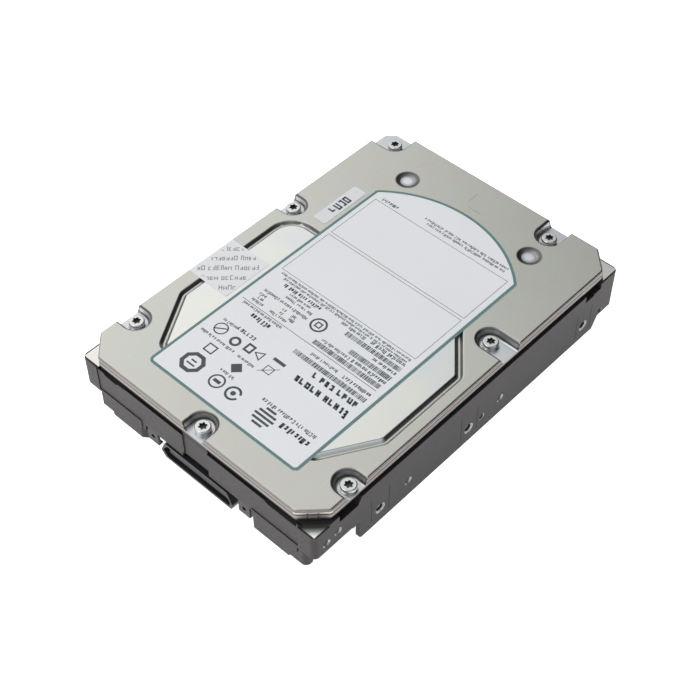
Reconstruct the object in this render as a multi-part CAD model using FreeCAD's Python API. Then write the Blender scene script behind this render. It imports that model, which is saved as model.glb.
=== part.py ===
import FreeCAD
import Part
import math
import os

# A 3.5-inch hard disk drive with a 40-contact blind-mate connector. Millimetres. +X across, +Y away
# from the connector end, +Z up. The origin is on the underside, at the centre of the 101.6 x 147 outline.

V = FreeCAD.Vector

# ---------------------------------------------------------------- driving dimensions
WIDTH = 101.6
LENGTH = 147.0
HEIGHT = 26.1
HALF_W = WIDTH / 2
HALF_L = LENGTH / 2

# casting levels
FLOOR_UNDER = 6.6
FLOOR_TOP = 9.0
WALL_TOP = 20.8
WALL_EDGE_R = 0.25
NEAR_CORNER_TOP = 19.8
END_LEDGE = 19.9
CORNER_UNDER = 9.0
FAR_UNDER = 4.8
RAIL_INNER_X = 43.5
RAIL_FRONT_Y = -54.2
RAIL_TIP_T = 1.6
RAIL_TIP_END_Y = -50.6
RAIL_REAR_Y = 63.5
CAVITY_X = 44.8
CAVITY_FRONT_Y = -68.8

# cover
LABEL_THICK = 0.12
COVER_TOP = HEIGHT - LABEL_THICK
COVER_T = 0.9
COVER_RIM = 22.25
COVER_X = 50.1
COVER_FRONT_Y = -73.0
COVER_REAR_Y = 72.2
COVER_CHAMFER = 7.4
COVER_EDGE_R = 0.7
SEAM_Z = (23.95, 24.12)
SEAM_DEPTH = 0.14
BEAD_DEPTH = 1.0
BEAD_WIDTH = 2.6
BEAD_SLOPE = 1.0
BEAD_BROW_R = 0.6
BEAD_FOOT_R = 0.2
SCOOP_FLOOR = COVER_RIM + COVER_T
SCOOP_R = 5.6
DIMPLE_DEPTH = 0.7
DIMPLE_R = 4.15
DIMPLE_LEAN = 26
DIMPLES = [(-26.4, 54.4), (27.9, 53.6)]
TAMPER_Y = (-27.8, -8.0)
TAMPER_THICK = 0.08
TAMPER_BEND_X = -46.0
TAMPER_INNER_X = -32.2

# cover screws: x, y, and the ways their scoops open, as angles from +X
COVER_SCREWS = {
    "left_front": (-46.2, -54.0, 180),
    "left_middle": (-46.6, 18.0, 180),
    "far_corner": (-43.0, 66.5, None),
    "far_end": (27.0, 66.0, 90),
    "right_middle": (42.1, 16.2, 0),
    "right_front": (47.0, -55.0, 0),
    "connector_end": (0.5, -69.0, 270),
}
SCREW_SHANK_R = 1.25
SCREW_HEAD_R = 2.65
BOSS_R = 4.3
BOSS_TOP_R = 2.5

# mounting holes, 6-32 UNC, at the places the 3.5-inch outline standard gives
THREAD_R = 1.4
SIDE_MOUTH = 0.7
SIDE_MOUTH_DEPTH = 0.4
MARK_DEPTH = 0.5
BOTTOM_MOUTH = 0.6
BOTTOM_MOUTH_DEPTH = 0.35
SIDE_HOLE_Z = 6.35
SIDE_HOLE_DEPTH = 4.6
SIDE_HOLE_Y = [-45.0, -3.39, 56.6]
BOTTOM_HOLE_X = 47.625
BOTTOM_HOLE_DEPTH = 4.4
BOTTOM_HOLE_Y = [-32.22, 12.23, 43.98]

# spindle and disc stack
SPINDLE = (0.0, 18.0)
BAY_R = 36.6
PLATTER_R = 35.0
PLATTER_BORE = 12.5
PLATTER_T = 1.0
PLATTER_PITCH = 3.6
FIRST_PLATTER = 11.6
PLATTERS = 3
SHAFT_R = 2.0
FLUID_GAP = 0.02
CLAMP_R = 14.5
STACK_TOP = FIRST_PLATTER + (PLATTERS - 1) * PLATTER_PITCH + PLATTER_T

# head actuator
PIVOT = (20.0, -28.0)
HEAD_REACH = 46.0
PARK_RADIUS = 16.0
ARM_T = 1.0
FLY_GAP = 0.06
SLIDER_T = 0.34
COIL_IN = 13.0
COIL_OUT = 27.0
COIL_Z = (14.1, 17.3)
SWING = 22.6
BALL_R = 0.6
BALL_PITCH_R = 2.85
BALL_ROWS = (11.6, 19.8)
PIVOT_SHAFT_R = 2.2
PIVOT_SLEEVE_R = 4.6

# circuit board and connector
BOARD_Z = (3.9, 5.3)
BOARD_X = 42.6
BOARD_Y = (-69.0, 26.0)
SHELL_HALF_W = 16.0
SHELL_Z = (1.0, 8.1)
SHELL_REAR_Y = -68.7
CONTACTS = 40
CONTACT_PITCH = 1.27

# ---------------------------------------------------------------- small helpers


def box(x0, x1, y0, y1, z0, z1):
    return Part.makeBox(x1 - x0, y1 - y0, z1 - z0, V(x0, y0, z0))


def cyl(x, y, z0, z1, r):
    return Part.makeCylinder(r, z1 - z0, V(x, y, z0))


def ring(x, y, z0, z1, r_in, r_out):
    return cyl(x, y, z0, z1, r_out).cut(cyl(x, y, z0 - 1, z1 + 1, r_in))


def polar(centre, radius, degrees):
    a = math.radians(degrees)
    return (centre[0] + radius * math.cos(a), centre[1] + radius * math.sin(a))


def join(shapes):
    first = shapes[0]
    if len(shapes) > 1:
        first = first.fuse(shapes[1:])
    return first.removeSplitter()


def group(shapes):
    return Part.makeCompound(shapes)


def mirror_x(shape):
    return shape.mirror(V(0, 0, 0), V(1, 0, 0))


def turned(shape, centre, degrees):
    copy = shape.copy()
    copy.rotate(V(centre[0], centre[1], 0), V(0, 0, 1), degrees)
    return copy


def rounded_wire(points, z):
    """A closed outline at height z. Each point is (x, y, corner radius)."""
    edges = []
    last = None
    first = None
    count = len(points)
    for i in range(count):
        px, py, _ = points[i - 1]
        x, y, r = points[i]
        nx, ny, _ = points[(i + 1) % count]
        back = V(px - x, py - y, 0).normalize()
        ahead = V(nx - x, ny - y, 0).normalize()
        half = back.getAngle(ahead) / 2
        start = V(x, y, z)
        end = start
        if r > 0:
            cut = r / math.tan(half)
            middle = (back + ahead).normalize() * (r / math.sin(half) - r)
            start = V(x, y, z) + back * cut
            end = V(x, y, z) + ahead * cut
        if last is not None and (start - last).Length > 1e-6:
            edges.append(Part.LineSegment(last, start).toShape())
        if r > 0:
            edges.append(Part.Arc(start, V(x, y, z) + middle, end).toShape())
        if first is None:
            first = start
        last = end
    if (first - last).Length > 1e-6:
        edges.append(Part.LineSegment(last, first).toShape())
    return Part.Wire(edges)


def plate(points, z0, z1):
    """A flat plate of the given rounded outline."""
    return Part.Face(rounded_wire(points, z0)).extrude(V(0, 0, z1 - z0))


def inset(points, distance):
    """The outline moved inwards. The points run anticlockwise."""
    result = []
    count = len(points)
    for i in range(count):
        px, py, _ = points[i - 1]
        x, y, r = points[i]
        nx, ny, _ = points[(i + 1) % count]
        d0 = V(x - px, y - py, 0).normalize()
        d1 = V(nx - x, ny - y, 0).normalize()
        n0 = V(-d0.y, d0.x, 0)
        n1 = V(-d1.y, d1.x, 0)
        scale = distance / (1 + n0.dot(n1))
        convex = d0.x * d1.y - d0.y * d1.x > 0
        radius = max(r - distance, 0.05) if convex else r + distance
        result.append((x + (n0.x + n1.x) * scale, y + (n0.y + n1.y) * scale, radius))
    return result


def sector(centre, r_in, r_out, a0, a1, z0, z1):
    """A flat piece of a ring between two angles."""
    def at(radius, angle):
        x, y = polar(centre, radius, angle)
        return V(x, y, z0)
    mid = (a0 + a1) / 2
    outer = Part.Arc(at(r_out, a0), at(r_out, mid), at(r_out, a1)).toShape()
    inner = Part.Arc(at(r_in, a1), at(r_in, mid), at(r_in, a0)).toShape()
    side0 = Part.LineSegment(at(r_out, a1), at(r_in, a1)).toShape()
    side1 = Part.LineSegment(at(r_in, a0), at(r_out, a0)).toShape()
    return Part.Face(Part.Wire([outer, side0, inner, side1])).extrude(V(0, 0, z1 - z0))


def hexalobe(x, y, z0, z1, r):
    """The cutter for a six-lobed driver recess."""
    lobes = [cyl(*polar((x, y), r * 0.78, 60 * i), z0, z1, r * 0.3) for i in range(6)]
    return cyl(x, y, z0, z1, r * 0.8).fuse(lobes)


def side_prism(points, x0, x1):
    """A prism along X whose section is a list of (y, z)."""
    wire = Part.makePolygon([V(x0, y, z) for y, z in points + points[:1]])
    return Part.Face(wire).extrude(V(x1 - x0, 0, 0))


def end_prism(points, y0, y1):
    """A prism along Y whose section is a list of (x, z)."""
    wire = Part.makePolygon([V(x, y0, z) for x, z in points + points[:1]])
    return Part.Face(wire).extrude(V(0, y1 - y0, 0))


# ---------------------------------------------------------------- cover

COVER_OUTLINE = [
    (-COVER_X, COVER_FRONT_Y + COVER_CHAMFER, 1.5),
    (-COVER_X + COVER_CHAMFER, COVER_FRONT_Y, 1.5),
    (COVER_X - COVER_CHAMFER, COVER_FRONT_Y, 1.5),
    (COVER_X, COVER_FRONT_Y + COVER_CHAMFER, 1.5),
    (COVER_X, COVER_REAR_Y - COVER_CHAMFER, 1.5),
    (COVER_X - COVER_CHAMFER, COVER_REAR_Y, 1.5),
    (-COVER_X + 3.0, COVER_REAR_Y, 1.5),
    (-COVER_X, COVER_REAR_Y - 3.0, 1.5),
]
BEAD_OUTLINE = [
    (-44.6, -36.5, 4.2),
    (-32.4, -57.2, 4.2),
    (33.9, -57.2, 4.2),
    (46.05, -37.1, 4.2),
    (46.05, -2.1, 4.2),
    (30.4, 16.6, 4.2),
    (-30.0, 14.9, 4.2),
    (-44.6, 14.9, 9.8),
]


def s_profile(floor_z, top_z, rim_r, foot, brow, grow, lean=70):
    """Half the section of a drawn pocket, as a face in the XZ plane about the Z axis.
    foot and brow are the radii of the bend at the floor and at the rim; grow thickens it outwards;
    lean is the wall's steepness in degrees."""
    lean = math.radians(lean)
    drop = 1 - math.cos(lean)
    run = (top_z - floor_z - (foot + brow) * drop) / math.tan(lean)
    floor_r = rim_r - run - (foot + brow) * math.sin(lean)
    a = foot + grow
    b = brow - grow
    foot_c = V(floor_r, 0, floor_z + foot)
    brow_c = V(rim_r, 0, top_z - brow)

    def on(centre, radius, angle, sign):
        return centre + V(sign * radius * math.sin(angle), 0, -sign * radius * math.cos(angle))
    low0 = on(foot_c, a, 0, 1)
    low1 = on(foot_c, a, lean / 2, 1)
    low2 = on(foot_c, a, lean, 1)
    high0 = on(brow_c, b, lean, -1)
    high1 = on(brow_c, b, lean / 2, -1)
    high2 = on(brow_c, b, 0, -1)
    top = V(high2.x, 0, top_z + 3)
    edges = [
        Part.LineSegment(V(0, 0, low0.z), low0).toShape(),
        Part.Arc(low0, low1, low2).toShape(),
        Part.LineSegment(low2, high0).toShape(),
        Part.Arc(high0, high1, high2).toShape(),
        Part.LineSegment(high2, top).toShape(),
        Part.LineSegment(top, V(0, 0, top.z)).toShape(),
        Part.LineSegment(V(0, 0, top.z), V(0, 0, low0.z)).toShape(),
    ]
    return Part.Face(Part.Wire(edges))


def scoop(x, y, opening, grow):
    """The pocket around a cover screw, open to the cover's edge in one direction, or over the corner."""
    face = s_profile(SCOOP_FLOOR, COVER_TOP + 0.02, SCOOP_R, 0.7, 1.2, grow)
    reach = 16
    if opening is None:
        quarter = face.revolve(V(0, 0, 0), V(0, 0, 1), 90)
        quarter.rotate(V(0, 0, 0), V(0, 0, 1), -90)
        along_y = face.extrude(V(0, reach, 0))
        along_x = face.copy()
        along_x.rotate(V(0, 0, 0), V(0, 0, 1), -90)
        along_x = along_x.extrude(V(-reach, 0, 0))
        open_corner = box(-reach, 0, 0, reach, SCOOP_FLOOR - grow, COVER_TOP + 3.02)
        pocket = quarter.fuse([along_y, along_x, open_corner])
    else:
        half = face.revolve(V(0, 0, 0), V(0, 0, 1), 180)
        half.rotate(V(0, 0, 0), V(0, 0, 1), 90)
        side = face.copy()
        side.rotate(V(0, 0, 0), V(0, 0, 1), 90)
        other = face.copy()
        other.rotate(V(0, 0, 0), V(0, 0, 1), -90)
        pocket = half.fuse([side.extrude(V(reach, 0, 0)), other.extrude(V(reach, 0, 0))])
        pocket.rotate(V(0, 0, 0), V(0, 0, 1), opening)
    pocket.translate(V(x, y, 0))
    return pocket.removeSplitter()


def edges_at(shape, test):
    return [e for e in shape.Edges if test(e.BoundBox)]


def cover_block(grow):
    """The cover's outer form with its rounded rim, before it is hollowed."""
    top = COVER_TOP + grow
    block = plate(inset(COVER_OUTLINE, -grow), COVER_RIM, top)
    return block.makeFillet(COVER_EDGE_R + grow, edges_at(block, lambda b: b.ZMin > top - 0.01))


def skirt_marks():
    """The seam between the cover's two bonded sheets, and the creases pressed in its chamfered corners."""
    seam = plate(inset(COVER_OUTLINE, -1), *SEAM_Z).cut(plate(inset(COVER_OUTLINE, SEAM_DEPTH), *SEAM_Z))
    marks = [seam]
    middle = COVER_CHAMFER / 2
    for sx, edge_y in ((-1, COVER_FRONT_Y), (1, COVER_FRONT_Y), (1, COVER_REAR_Y)):
        sy = -1 if edge_y < 0 else 1
        for along in (-1.1, 1.1):
            x = sx * (COVER_X - middle + along)
            y = edge_y - sy * (middle + along)
            marks.append(cyl(x, y, COVER_RIM - 1, COVER_TOP - COVER_EDGE_R, 0.22))
    return marks


def bead():
    """The cutter for the stiffening bead: a groove with sloping sides round the middle of the cover."""
    floor_z = COVER_TOP - BEAD_DEPTH
    outer = rounded_wire(BEAD_OUTLINE, COVER_TOP)
    outer_foot = rounded_wire(inset(BEAD_OUTLINE, BEAD_SLOPE), floor_z)
    inner = rounded_wire(inset(BEAD_OUTLINE, BEAD_WIDTH), COVER_TOP)
    inner_foot = rounded_wire(inset(BEAD_OUTLINE, BEAD_WIDTH - BEAD_SLOPE), floor_z)
    pit = Part.makeLoft([outer_foot, outer], True, True)
    island = Part.makeLoft([inner_foot, inner], True, True)
    groove = pit.cut(island)
    return groove.makeFillet(BEAD_FOOT_R, edges_at(groove, lambda b: b.ZMax < floor_z + 0.01))


def top_cover():
    """A drawn sheet-metal lid: skirted all round, with a bead pressed in over the actuator."""
    top = COVER_TOP
    skin = cover_block(0).cut(bead()).cut(skirt_marks())
    brow = edges_at(skin, lambda b: b.ZMin > top - 0.01 and b.XMax < COVER_X - 3 and b.XMin > 3 - COVER_X
                    and b.YMin > -60 and b.YMax < 18)
    skin = skin.makeFillet(BEAD_BROW_R, brow)
    for x, y in DIMPLES:
        profile = s_profile(top - DIMPLE_DEPTH, top + 0.02, DIMPLE_R, 0.5, 0.5, 0, DIMPLE_LEAN)
        dimple = profile.revolve(V(0, 0, 0), V(0, 0, 1), 360)
        dimple.translate(V(x, y, 0))
        skin = skin.cut(dimple)
    inner = plate(inset(COVER_OUTLINE, COVER_T), COVER_RIM - 1, top - COVER_T)
    under = plate(inset(BEAD_OUTLINE, -0.4), top - COVER_T - BEAD_DEPTH, top)
    island = plate(inset(BEAD_OUTLINE, BEAD_WIDTH + 0.4), top - COVER_T - BEAD_DEPTH, top)
    inner = inner.cut(under.cut(island))
    for x, y in DIMPLES:
        inner = inner.cut(cyl(x, y, top - COVER_T - DIMPLE_DEPTH, top, DIMPLE_R))
    for x, y, opening in COVER_SCREWS.values():
        skin = skin.cut(scoop(x, y, opening, 0))
        inner = inner.cut(scoop(x, y, opening, COVER_T))
    lid = skin.cut(inner)
    for x, y, _ in COVER_SCREWS.values():
        lid = lid.cut(cyl(x, y, 15, 25, SCREW_SHANK_R + 0.35))
    return lid.removeSplitter()


def cover_gasket():
    """A rubber strip between the cover and the casting's wall, widened round each screw's boss."""
    outer = plate(inset(COVER_OUTLINE, 0.5), WALL_TOP, COVER_RIM)
    strip = outer.cut(plate(inset(COVER_OUTLINE, 2.75), WALL_TOP - 1, COVER_RIM + 1))
    eyes = [cyl(x, y, WALL_TOP, COVER_RIM, BOSS_R - 0.1) for x, y, _ in COVER_SCREWS.values()]
    x, y, _ = COVER_SCREWS["right_middle"]
    tab = box(x, COVER_X - 1, y - 1.6, y + 1.6, WALL_TOP, COVER_RIM)
    holes = [cyl(x, y, WALL_TOP - 1, COVER_RIM + 1, BOSS_TOP_R) for x, y, _ in COVER_SCREWS.values()]
    return join([strip, tab] + eyes).common(outer).cut(holes)


def cover_screws():
    screws = []
    for x, y, _ in COVER_SCREWS.values():
        collar = cyl(x, y, SCOOP_FLOOR, SCOOP_FLOOR + 0.4, SCREW_HEAD_R + 0.25)
        head = cyl(x, y, SCOOP_FLOOR + 0.4, SCOOP_FLOOR + 1.9, SCREW_HEAD_R)
        head = head.makeFillet(0.45, edges_at(head, lambda b: b.ZMin > SCOOP_FLOOR + 1.8))
        shank = cyl(x, y, SCOOP_FLOOR - 8, SCOOP_FLOOR, SCREW_SHANK_R)
        socket = hexalobe(x, y, SCOOP_FLOOR + 0.7, SCOOP_FLOOR + 3, 1.35)
        screws.append(join([collar, head, shank]).cut(socket))
    return group(screws)


def product_label():
    """A printed sheet laid over the cover: straight on three sides, an arc on the fourth."""
    label = plate([(-30.6, -63.1, 2), (33.4, -63.1, 2), (33.4, 70, 0), (-30.6, 70, 0)], COVER_TOP, HEIGHT)
    disc = cyl(0, 9.05, COVER_TOP - 1, HEIGHT + 1, 45.67)
    near = box(-60, 60, -80, 9.05, COVER_TOP - 1, HEIGHT + 1)
    label = label.common(join([disc, near]))
    corners = edges_at(label, lambda b: b.YMin > 30 and b.XLength < 0.01 and b.YLength < 0.01)
    return label.makeFillet(1.8, corners)


def small_sticker():
    return plate([(-37.6, 18.4, 0.8), (-32.1, 18.4, 0.8), (-32.1, 39.4, 0.8), (-37.6, 39.4, 0.8)],
                 COVER_TOP, COVER_TOP + 0.1)


def tamper_label():
    """A strip stuck across the bead, over the cover's edge and down its skirt."""
    t = TAMPER_THICK
    y0, y1 = TAMPER_Y
    shell = cover_block(t).cut(cover_block(0))
    wrap = shell.common(box(-COVER_X - 1, TAMPER_BEND_X, y0, y1, COVER_RIM + 0.2, COVER_TOP + 1))
    flat = box(TAMPER_BEND_X, TAMPER_INNER_X, y0, y1, COVER_TOP, COVER_TOP + t)
    return join([wrap, flat])


# ---------------------------------------------------------------- base casting


def cavity():
    """The sealed space for the discs and the actuator."""
    x = CAVITY_X
    bay = cyl(*SPINDLE, FLOOR_TOP, WALL_TOP + 2, BAY_R)
    outline = [
        (-x, CAVITY_FRONT_Y, 5), (x, CAVITY_FRONT_Y, 5), (x, -12, 5), (37.2, 9, 4),
        (0, 12, 0), (-x, -22, 5),
    ]
    room = plate(outline, FLOOR_TOP, WALL_TOP + 2)
    comb = sector(SPINDLE, BAY_R - 1, 39.4, 167, 213, FLOOR_TOP, WALL_TOP + 2)
    return join([bay, room, comb])


def end_wall_details(casting):
    """The connector end: two lower jambs beside the connector, and shallow steps in the wall."""
    front = -HALF_L
    over = HEIGHT
    left = plate([(-44.6, front + 0.4, 0.5), (-25.7, front + 0.4, 0.3), (-23.1, front + 2.4, 0.3),
                  (-23.1, front + 3.6, 0.3), (-44.6, front + 3.6, 0.5)], 0.5, CORNER_UNDER + 0.4)
    left = left.cut(box(-50, -39.4, front - 1, front + 5, 0, 2.0))
    right = plate([(24.5, front + 0.4, 0.3), (46.8, front + 0.4, 2.0), (46.8, front + 3.6, 0.5),
                   (24.5, front + 3.6, 0.3)], 0.2, CORNER_UNDER + 0.4)
    right = right.cut(box(39.5, 50, front - 1, front + 5, 0, 1.3))
    pad_x = (-4.8, 6.0)
    screw_pad = box(*pad_x, front + 0.7, front + 0.95, WALL_TOP - 1, COVER_RIM - 0.2)
    casting = join([casting, left, right, screw_pad])
    notches = [
        end_prism([(-41.6, 22.5), (-41.5, 20.6), (-40.2, 19.0), (-35.0, 18.8), (-34.3, 19.5), (-31.6, 19.5),
                   (-29.9, 22.5)], front - 1, front + 2.0),
        end_prism([(28.9, 22.5), (29.6, 20.2), (31.1, 19.3), (32.4, 19.0), (43.2, 19.0), (43.2, 22.5)],
                  front - 1, front + 2.0),
        box(-5.6, 5.9, front - 1, front + 2.6, 5, 10.8),
        box(*pad_x, front - 1, front + 0.7, 5, over),
        box(-44.0, 44.0, front - 1, front + 0.3, 10.2, over),
        box(-24.5, 24.5, front - 1, front + 0.3, 5, over),
        box(-43.4, pad_x[0], front - 1, front + 1.2, END_LEDGE, over),
        box(pad_x[1], 43.4, front - 1, front + 1.2, END_LEDGE, over),
        box(-23.0, 24.5, front - 1, front + 4.9, 0, 9.0),
    ]
    return casting.cut(notches)


def side_details(casting):
    """Threaded mounting holes between scribed lines, with tooling marks along the wall."""
    tools = []
    for y in SIDE_HOLE_Y:
        hole = Part.makeCylinder(THREAD_R, SIDE_HOLE_DEPTH, V(HALF_W - SIDE_HOLE_DEPTH, y, SIDE_HOLE_Z), V(1, 0, 0))
        mouth = Part.makeCone(THREAD_R, THREAD_R + SIDE_MOUTH, SIDE_MOUTH_DEPTH,
                              V(HALF_W - SIDE_MOUTH_DEPTH, y, SIDE_HOLE_Z), V(1, 0, 0))
        for pad_edge in (y - 4.0, y + 3.8):
            tools.append(box(HALF_W - 0.12, HALF_W + 1, pad_edge, pad_edge + 0.16, 3.0, 14))
        tools += [hole, mouth]
    for y, z, r in [(-32.3, 7.4, 1.6), (3.1, 6.35, 1.3), (12.2, 7.5, 1.6), (66.1, 6.4, 1.2),
                    (-63.55, 13.8, 1.6), (-68.4, 12.8, 1.6)]:
        tools.append(Part.makeCone(r - MARK_DEPTH, r, MARK_DEPTH, V(HALF_W - MARK_DEPTH, y, z), V(1, 0, 0)))
    near_notch = [(-62.9, 23), (-62.9, 17.9), (-55.0, 17.9), (-53.4, 20.6), (-53.4, 23)]
    far_notch = [(55.8, 23), (55.8, 17.8), (60.5, 17.8), (60.5, 18.5), (64.1, 18.5), (64.1, 23)]
    for notch in (near_notch, far_notch):
        tools.append(side_prism(notch, HALF_W - 2.6, HALF_W + 1))
    both = tools + [mirror_x(t) for t in tools]
    return casting.cut(both)


def underside_details(casting):
    """Mounting holes in the rails, the motor's seat, board posts and the far end's ribs."""
    tools = []
    for y in BOTTOM_HOLE_Y:
        for x in (-BOTTOM_HOLE_X, BOTTOM_HOLE_X):
            tools.append(cyl(x, y, -1, BOTTOM_HOLE_DEPTH, THREAD_R))
            tools.append(Part.makeCone(THREAD_R + BOTTOM_MOUTH, THREAD_R, BOTTOM_MOUTH_DEPTH, V(x, y, 0)))
    tools.append(cyl(*SPINDLE, 5, FLOOR_TOP + 0.5, 15.05))
    for x0, x1 in [(-38, -21), (-18, 18), (21, 38)]:
        pocket = plate([(x0, 65.2, 1.5), (x1, 65.2, 1.5), (x1, 71.4, 1.5), (x0, 71.4, 1.5)], FAR_UNDER - 1, 8.0)
        tools.append(pocket)
    tools.append(plate([(-20, -56.6, 1), (-6, -56.6, 1), (-6, -48.6, 1), (-20, -48.6, 1)], 5, 10))
    tools.append(cyl(-38, -57, 5, 10, 0.9))
    casting = casting.cut(tools)
    ribs = []
    for x in (-26.0, 26.0):
        ribs.append(box(x - 0.8, x + 0.8, 45, RAIL_REAR_Y + 0.5, 5.2, FLOOR_UNDER + 0.3))
    ribs.append(sector(SPINDLE, 27.5, 29.0, 20, 160, 5.2, FLOOR_UNDER + 0.3))
    for angle in (50, 90, 130):
        spoke = box(SPINDLE[0] + 19.5, SPINDLE[0] + 28.5, SPINDLE[1] - 0.7, SPINDLE[1] + 0.7, 5.2, FLOOR_UNDER + 0.3)
        ribs.append(turned(spoke, SPINDLE, angle))
    ribs.append(ring(*SPINDLE, 5.4, FLOOR_UNDER + 0.3, 18.0, 19.8))
    for x, y in BOARD_SCREWS:
        ribs.append(cyl(x, y, BOARD_Z[1], FLOOR_TOP - 0.1, 2.6))
    casting = join([casting] + ribs)
    holes = [cyl(x, y, BOARD_Z[1] - 1, FLOOR_TOP - 0.6, 0.9) for x, y in BOARD_SCREWS]
    clear = box(-BOARD_X, BOARD_X, BOARD_Y[0], BOARD_Y[1] + 0.4, BOARD_Z[0], BOARD_Z[1])
    return casting.cut(holes).cut(clear)


BOARD_SCREWS = [(-39.4, -60.5), (39.4, -60.5), (-39.4, 21.5), (39.4, 21.5), (7.0, -16.0)]
MOTOR_SCREW_ANGLES = (30, 150, 270)


def base_casting():
    x = HALF_W
    y = HALF_L
    outline = [(-x, -y, 2), (x, -y, 2), (x, y, 2), (-x, y, 2)]
    tub = plate(outline, FLOOR_UNDER, WALL_TOP)
    tub = tub.makeFillet(WALL_EDGE_R, edges_at(tub, lambda b: b.ZMin > WALL_TOP - 0.01))
    far = plate([(-x, RAIL_REAR_Y, 0), (x, RAIL_REAR_Y, 0), (x, y, 2), (-x, y, 2)], FAR_UNDER, FLOOR_UNDER + 1)
    rail_side = [(RAIL_FRONT_Y, 0.8), (RAIL_FRONT_Y + 0.8, 0), (RAIL_REAR_Y - 1, 0), (RAIL_REAR_Y + 1.5, FAR_UNDER),
                 (RAIL_REAR_Y + 1.5, FLOOR_UNDER + 1), (RAIL_FRONT_Y, FLOOR_UNDER + 1)]
    rail = side_prism(rail_side, RAIL_INNER_X, x)
    casting = join([tub, far, rail, mirror_x(rail)])
    corner = box(RAIL_INNER_X, x + 1, -y - 1, RAIL_FRONT_Y, 0, CORNER_UNDER)
    tip = box(RAIL_INNER_X - 1, x - RAIL_TIP_T, RAIL_FRONT_Y - 1, RAIL_TIP_END_Y, -1, FLOOR_UNDER)
    reach = COVER_CHAMFER + 1.3
    near = side_prism([(-y - 1, NEAR_CORNER_TOP), (-y + reach, NEAR_CORNER_TOP), (-y + reach, HEIGHT),
                       (-y - 1, HEIGHT)], x - reach, x + 1)
    diagonal = [(x + 2, -y - 2, 0), (x + 2, -y + reach, 0), (x - reach, -y - 2, 0)]
    near = near.common(plate(diagonal, 0, HEIGHT))
    casting = casting.cut([corner, mirror_x(corner), tip, mirror_x(tip), near]).cut(cavity())
    bosses = []
    for sx, sy, _ in COVER_SCREWS.values():
        boss = cyl(sx, sy, FLOOR_TOP - 0.5, WALL_TOP, BOSS_R)
        bosses.append(boss.common(plate(outline, 0, HEIGHT)))
        bosses.append(cyl(sx, sy, WALL_TOP - 1, COVER_RIM, BOSS_TOP_R))
    bosses.append(cyl(*PIVOT, FLOOR_TOP - 0.5, FLOOR_TOP + 0.5, 4.2))
    casting = join([casting] + bosses)
    holes = [cyl(sx, sy, SCOOP_FLOOR - 9, HEIGHT, SCREW_SHANK_R) for sx, sy, _ in COVER_SCREWS.values()]
    casting = casting.cut(holes)
    casting = end_wall_details(casting)
    casting = side_details(casting)
    casting = underside_details(casting)
    motor_holes = [cyl(*polar(SPINDLE, 16.4, a), 5, FLOOR_TOP - 0.6, 0.9) for a in MOTOR_SCREW_ANGLES]
    return casting.cut(motor_holes).removeSplitter()


# ---------------------------------------------------------------- spindle motor


def motor_bracket():
    """The motor's flange, seated in the casting from below, with the tube that carries the stator."""
    x, y = SPINDLE
    flange = cyl(x, y, 5.4, FLOOR_UNDER, 17.8)
    seat = cyl(x, y, FLOOR_UNDER, FLOOR_TOP, 15.0)
    tube = cyl(x, y, FLOOR_TOP, 12.0, 4.9)
    bore = cyl(x, y, 4, 13, 3.7)
    holes = [cyl(*polar(SPINDLE, 16.4, a), 4, 8, 1.1) for a in MOTOR_SCREW_ANGLES]
    return join([flange, seat, tube]).cut([bore] + holes)


def motor_screws():
    screws = []
    for angle in MOTOR_SCREW_ANGLES:
        x, y = polar(SPINDLE, 16.4, angle)
        head = cyl(x, y, 4.3, 5.4, 1.7)
        shank = cyl(x, y, 5.4, 8.2, 0.9)
        screws.append(join([head, shank]).cut(hexalobe(x, y, 4, 5.0, 0.95)))
    return group(screws)


def bearing_sleeve():
    x, y = SPINDLE
    sleeve = cyl(x, y, 6.0, 19.4, 3.7)
    return sleeve.cut([cyl(x, y, 6.9, 20, SHAFT_R + FLUID_GAP), cyl(x, y, 5.9, 7.0, 3.1)])


def bearing_end_cap():
    x, y = SPINDLE
    return cyl(x, y, 6.0, 6.85, 3.1)


def stator_core():
    """Nine laminated teeth on a back ring pressed on the bracket's tube."""
    x, y = SPINDLE
    z0, z1 = 12.0, 17.0
    yoke = ring(x, y, z0, z1, 3.7, 5.2)
    teeth = [yoke]
    for i in range(9):
        tooth = box(x + 5.0, x + 8.2, y - 0.5, y + 0.5, z0, z1)
        shoe = sector(SPINDLE, 7.9, 8.6, -15, 15, z0, z1)
        teeth.append(turned(join([tooth, shoe]), SPINDLE, 40 * i))
    return join(teeth)


def stator_coils():
    x, y = SPINDLE
    coils = []
    for i in range(9):
        around = box(x + 5.4, x + 7.7, y - 1.15, y + 1.15, 11.4, 17.6)
        coil = around.cut(box(x + 5, x + 8, y - 0.52, y + 0.52, 11.98, 17.02))
        coils.append(turned(coil, SPINDLE, 40 * i))
    return group(coils)


def spindle_hub():
    """An inverted cup. Its flange carries the discs and its inside carries the rotor magnet."""
    x, y = SPINDLE
    cup = cyl(x, y, 10.3, 20.9, PLATTER_BORE - 0.03)
    flange = cyl(x, y, 10.3, FIRST_PLATTER, CLAMP_R)
    hollow = cyl(x, y, 10, 19.0, 10.6)
    relief = cyl(x, y, 18.9, 19.6, 4.2)
    bore = cyl(x, y, 10, 25, SHAFT_R)
    taps = [cyl(*polar(SPINDLE, 8.4, 60 * i), 18.4, 25, 0.8) for i in range(6)]
    return join([cup, flange]).cut([hollow, relief, bore] + taps)


def spindle_shaft():
    x, y = SPINDLE
    return join([cyl(x, y, 7.1, 21.6, SHAFT_R), cyl(x, y, 7.02, 7.4, SHAFT_R - 0.4)])


def rotor_magnet():
    return ring(*SPINDLE, 11.0, 17.4, 9.0, 10.6)


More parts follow.
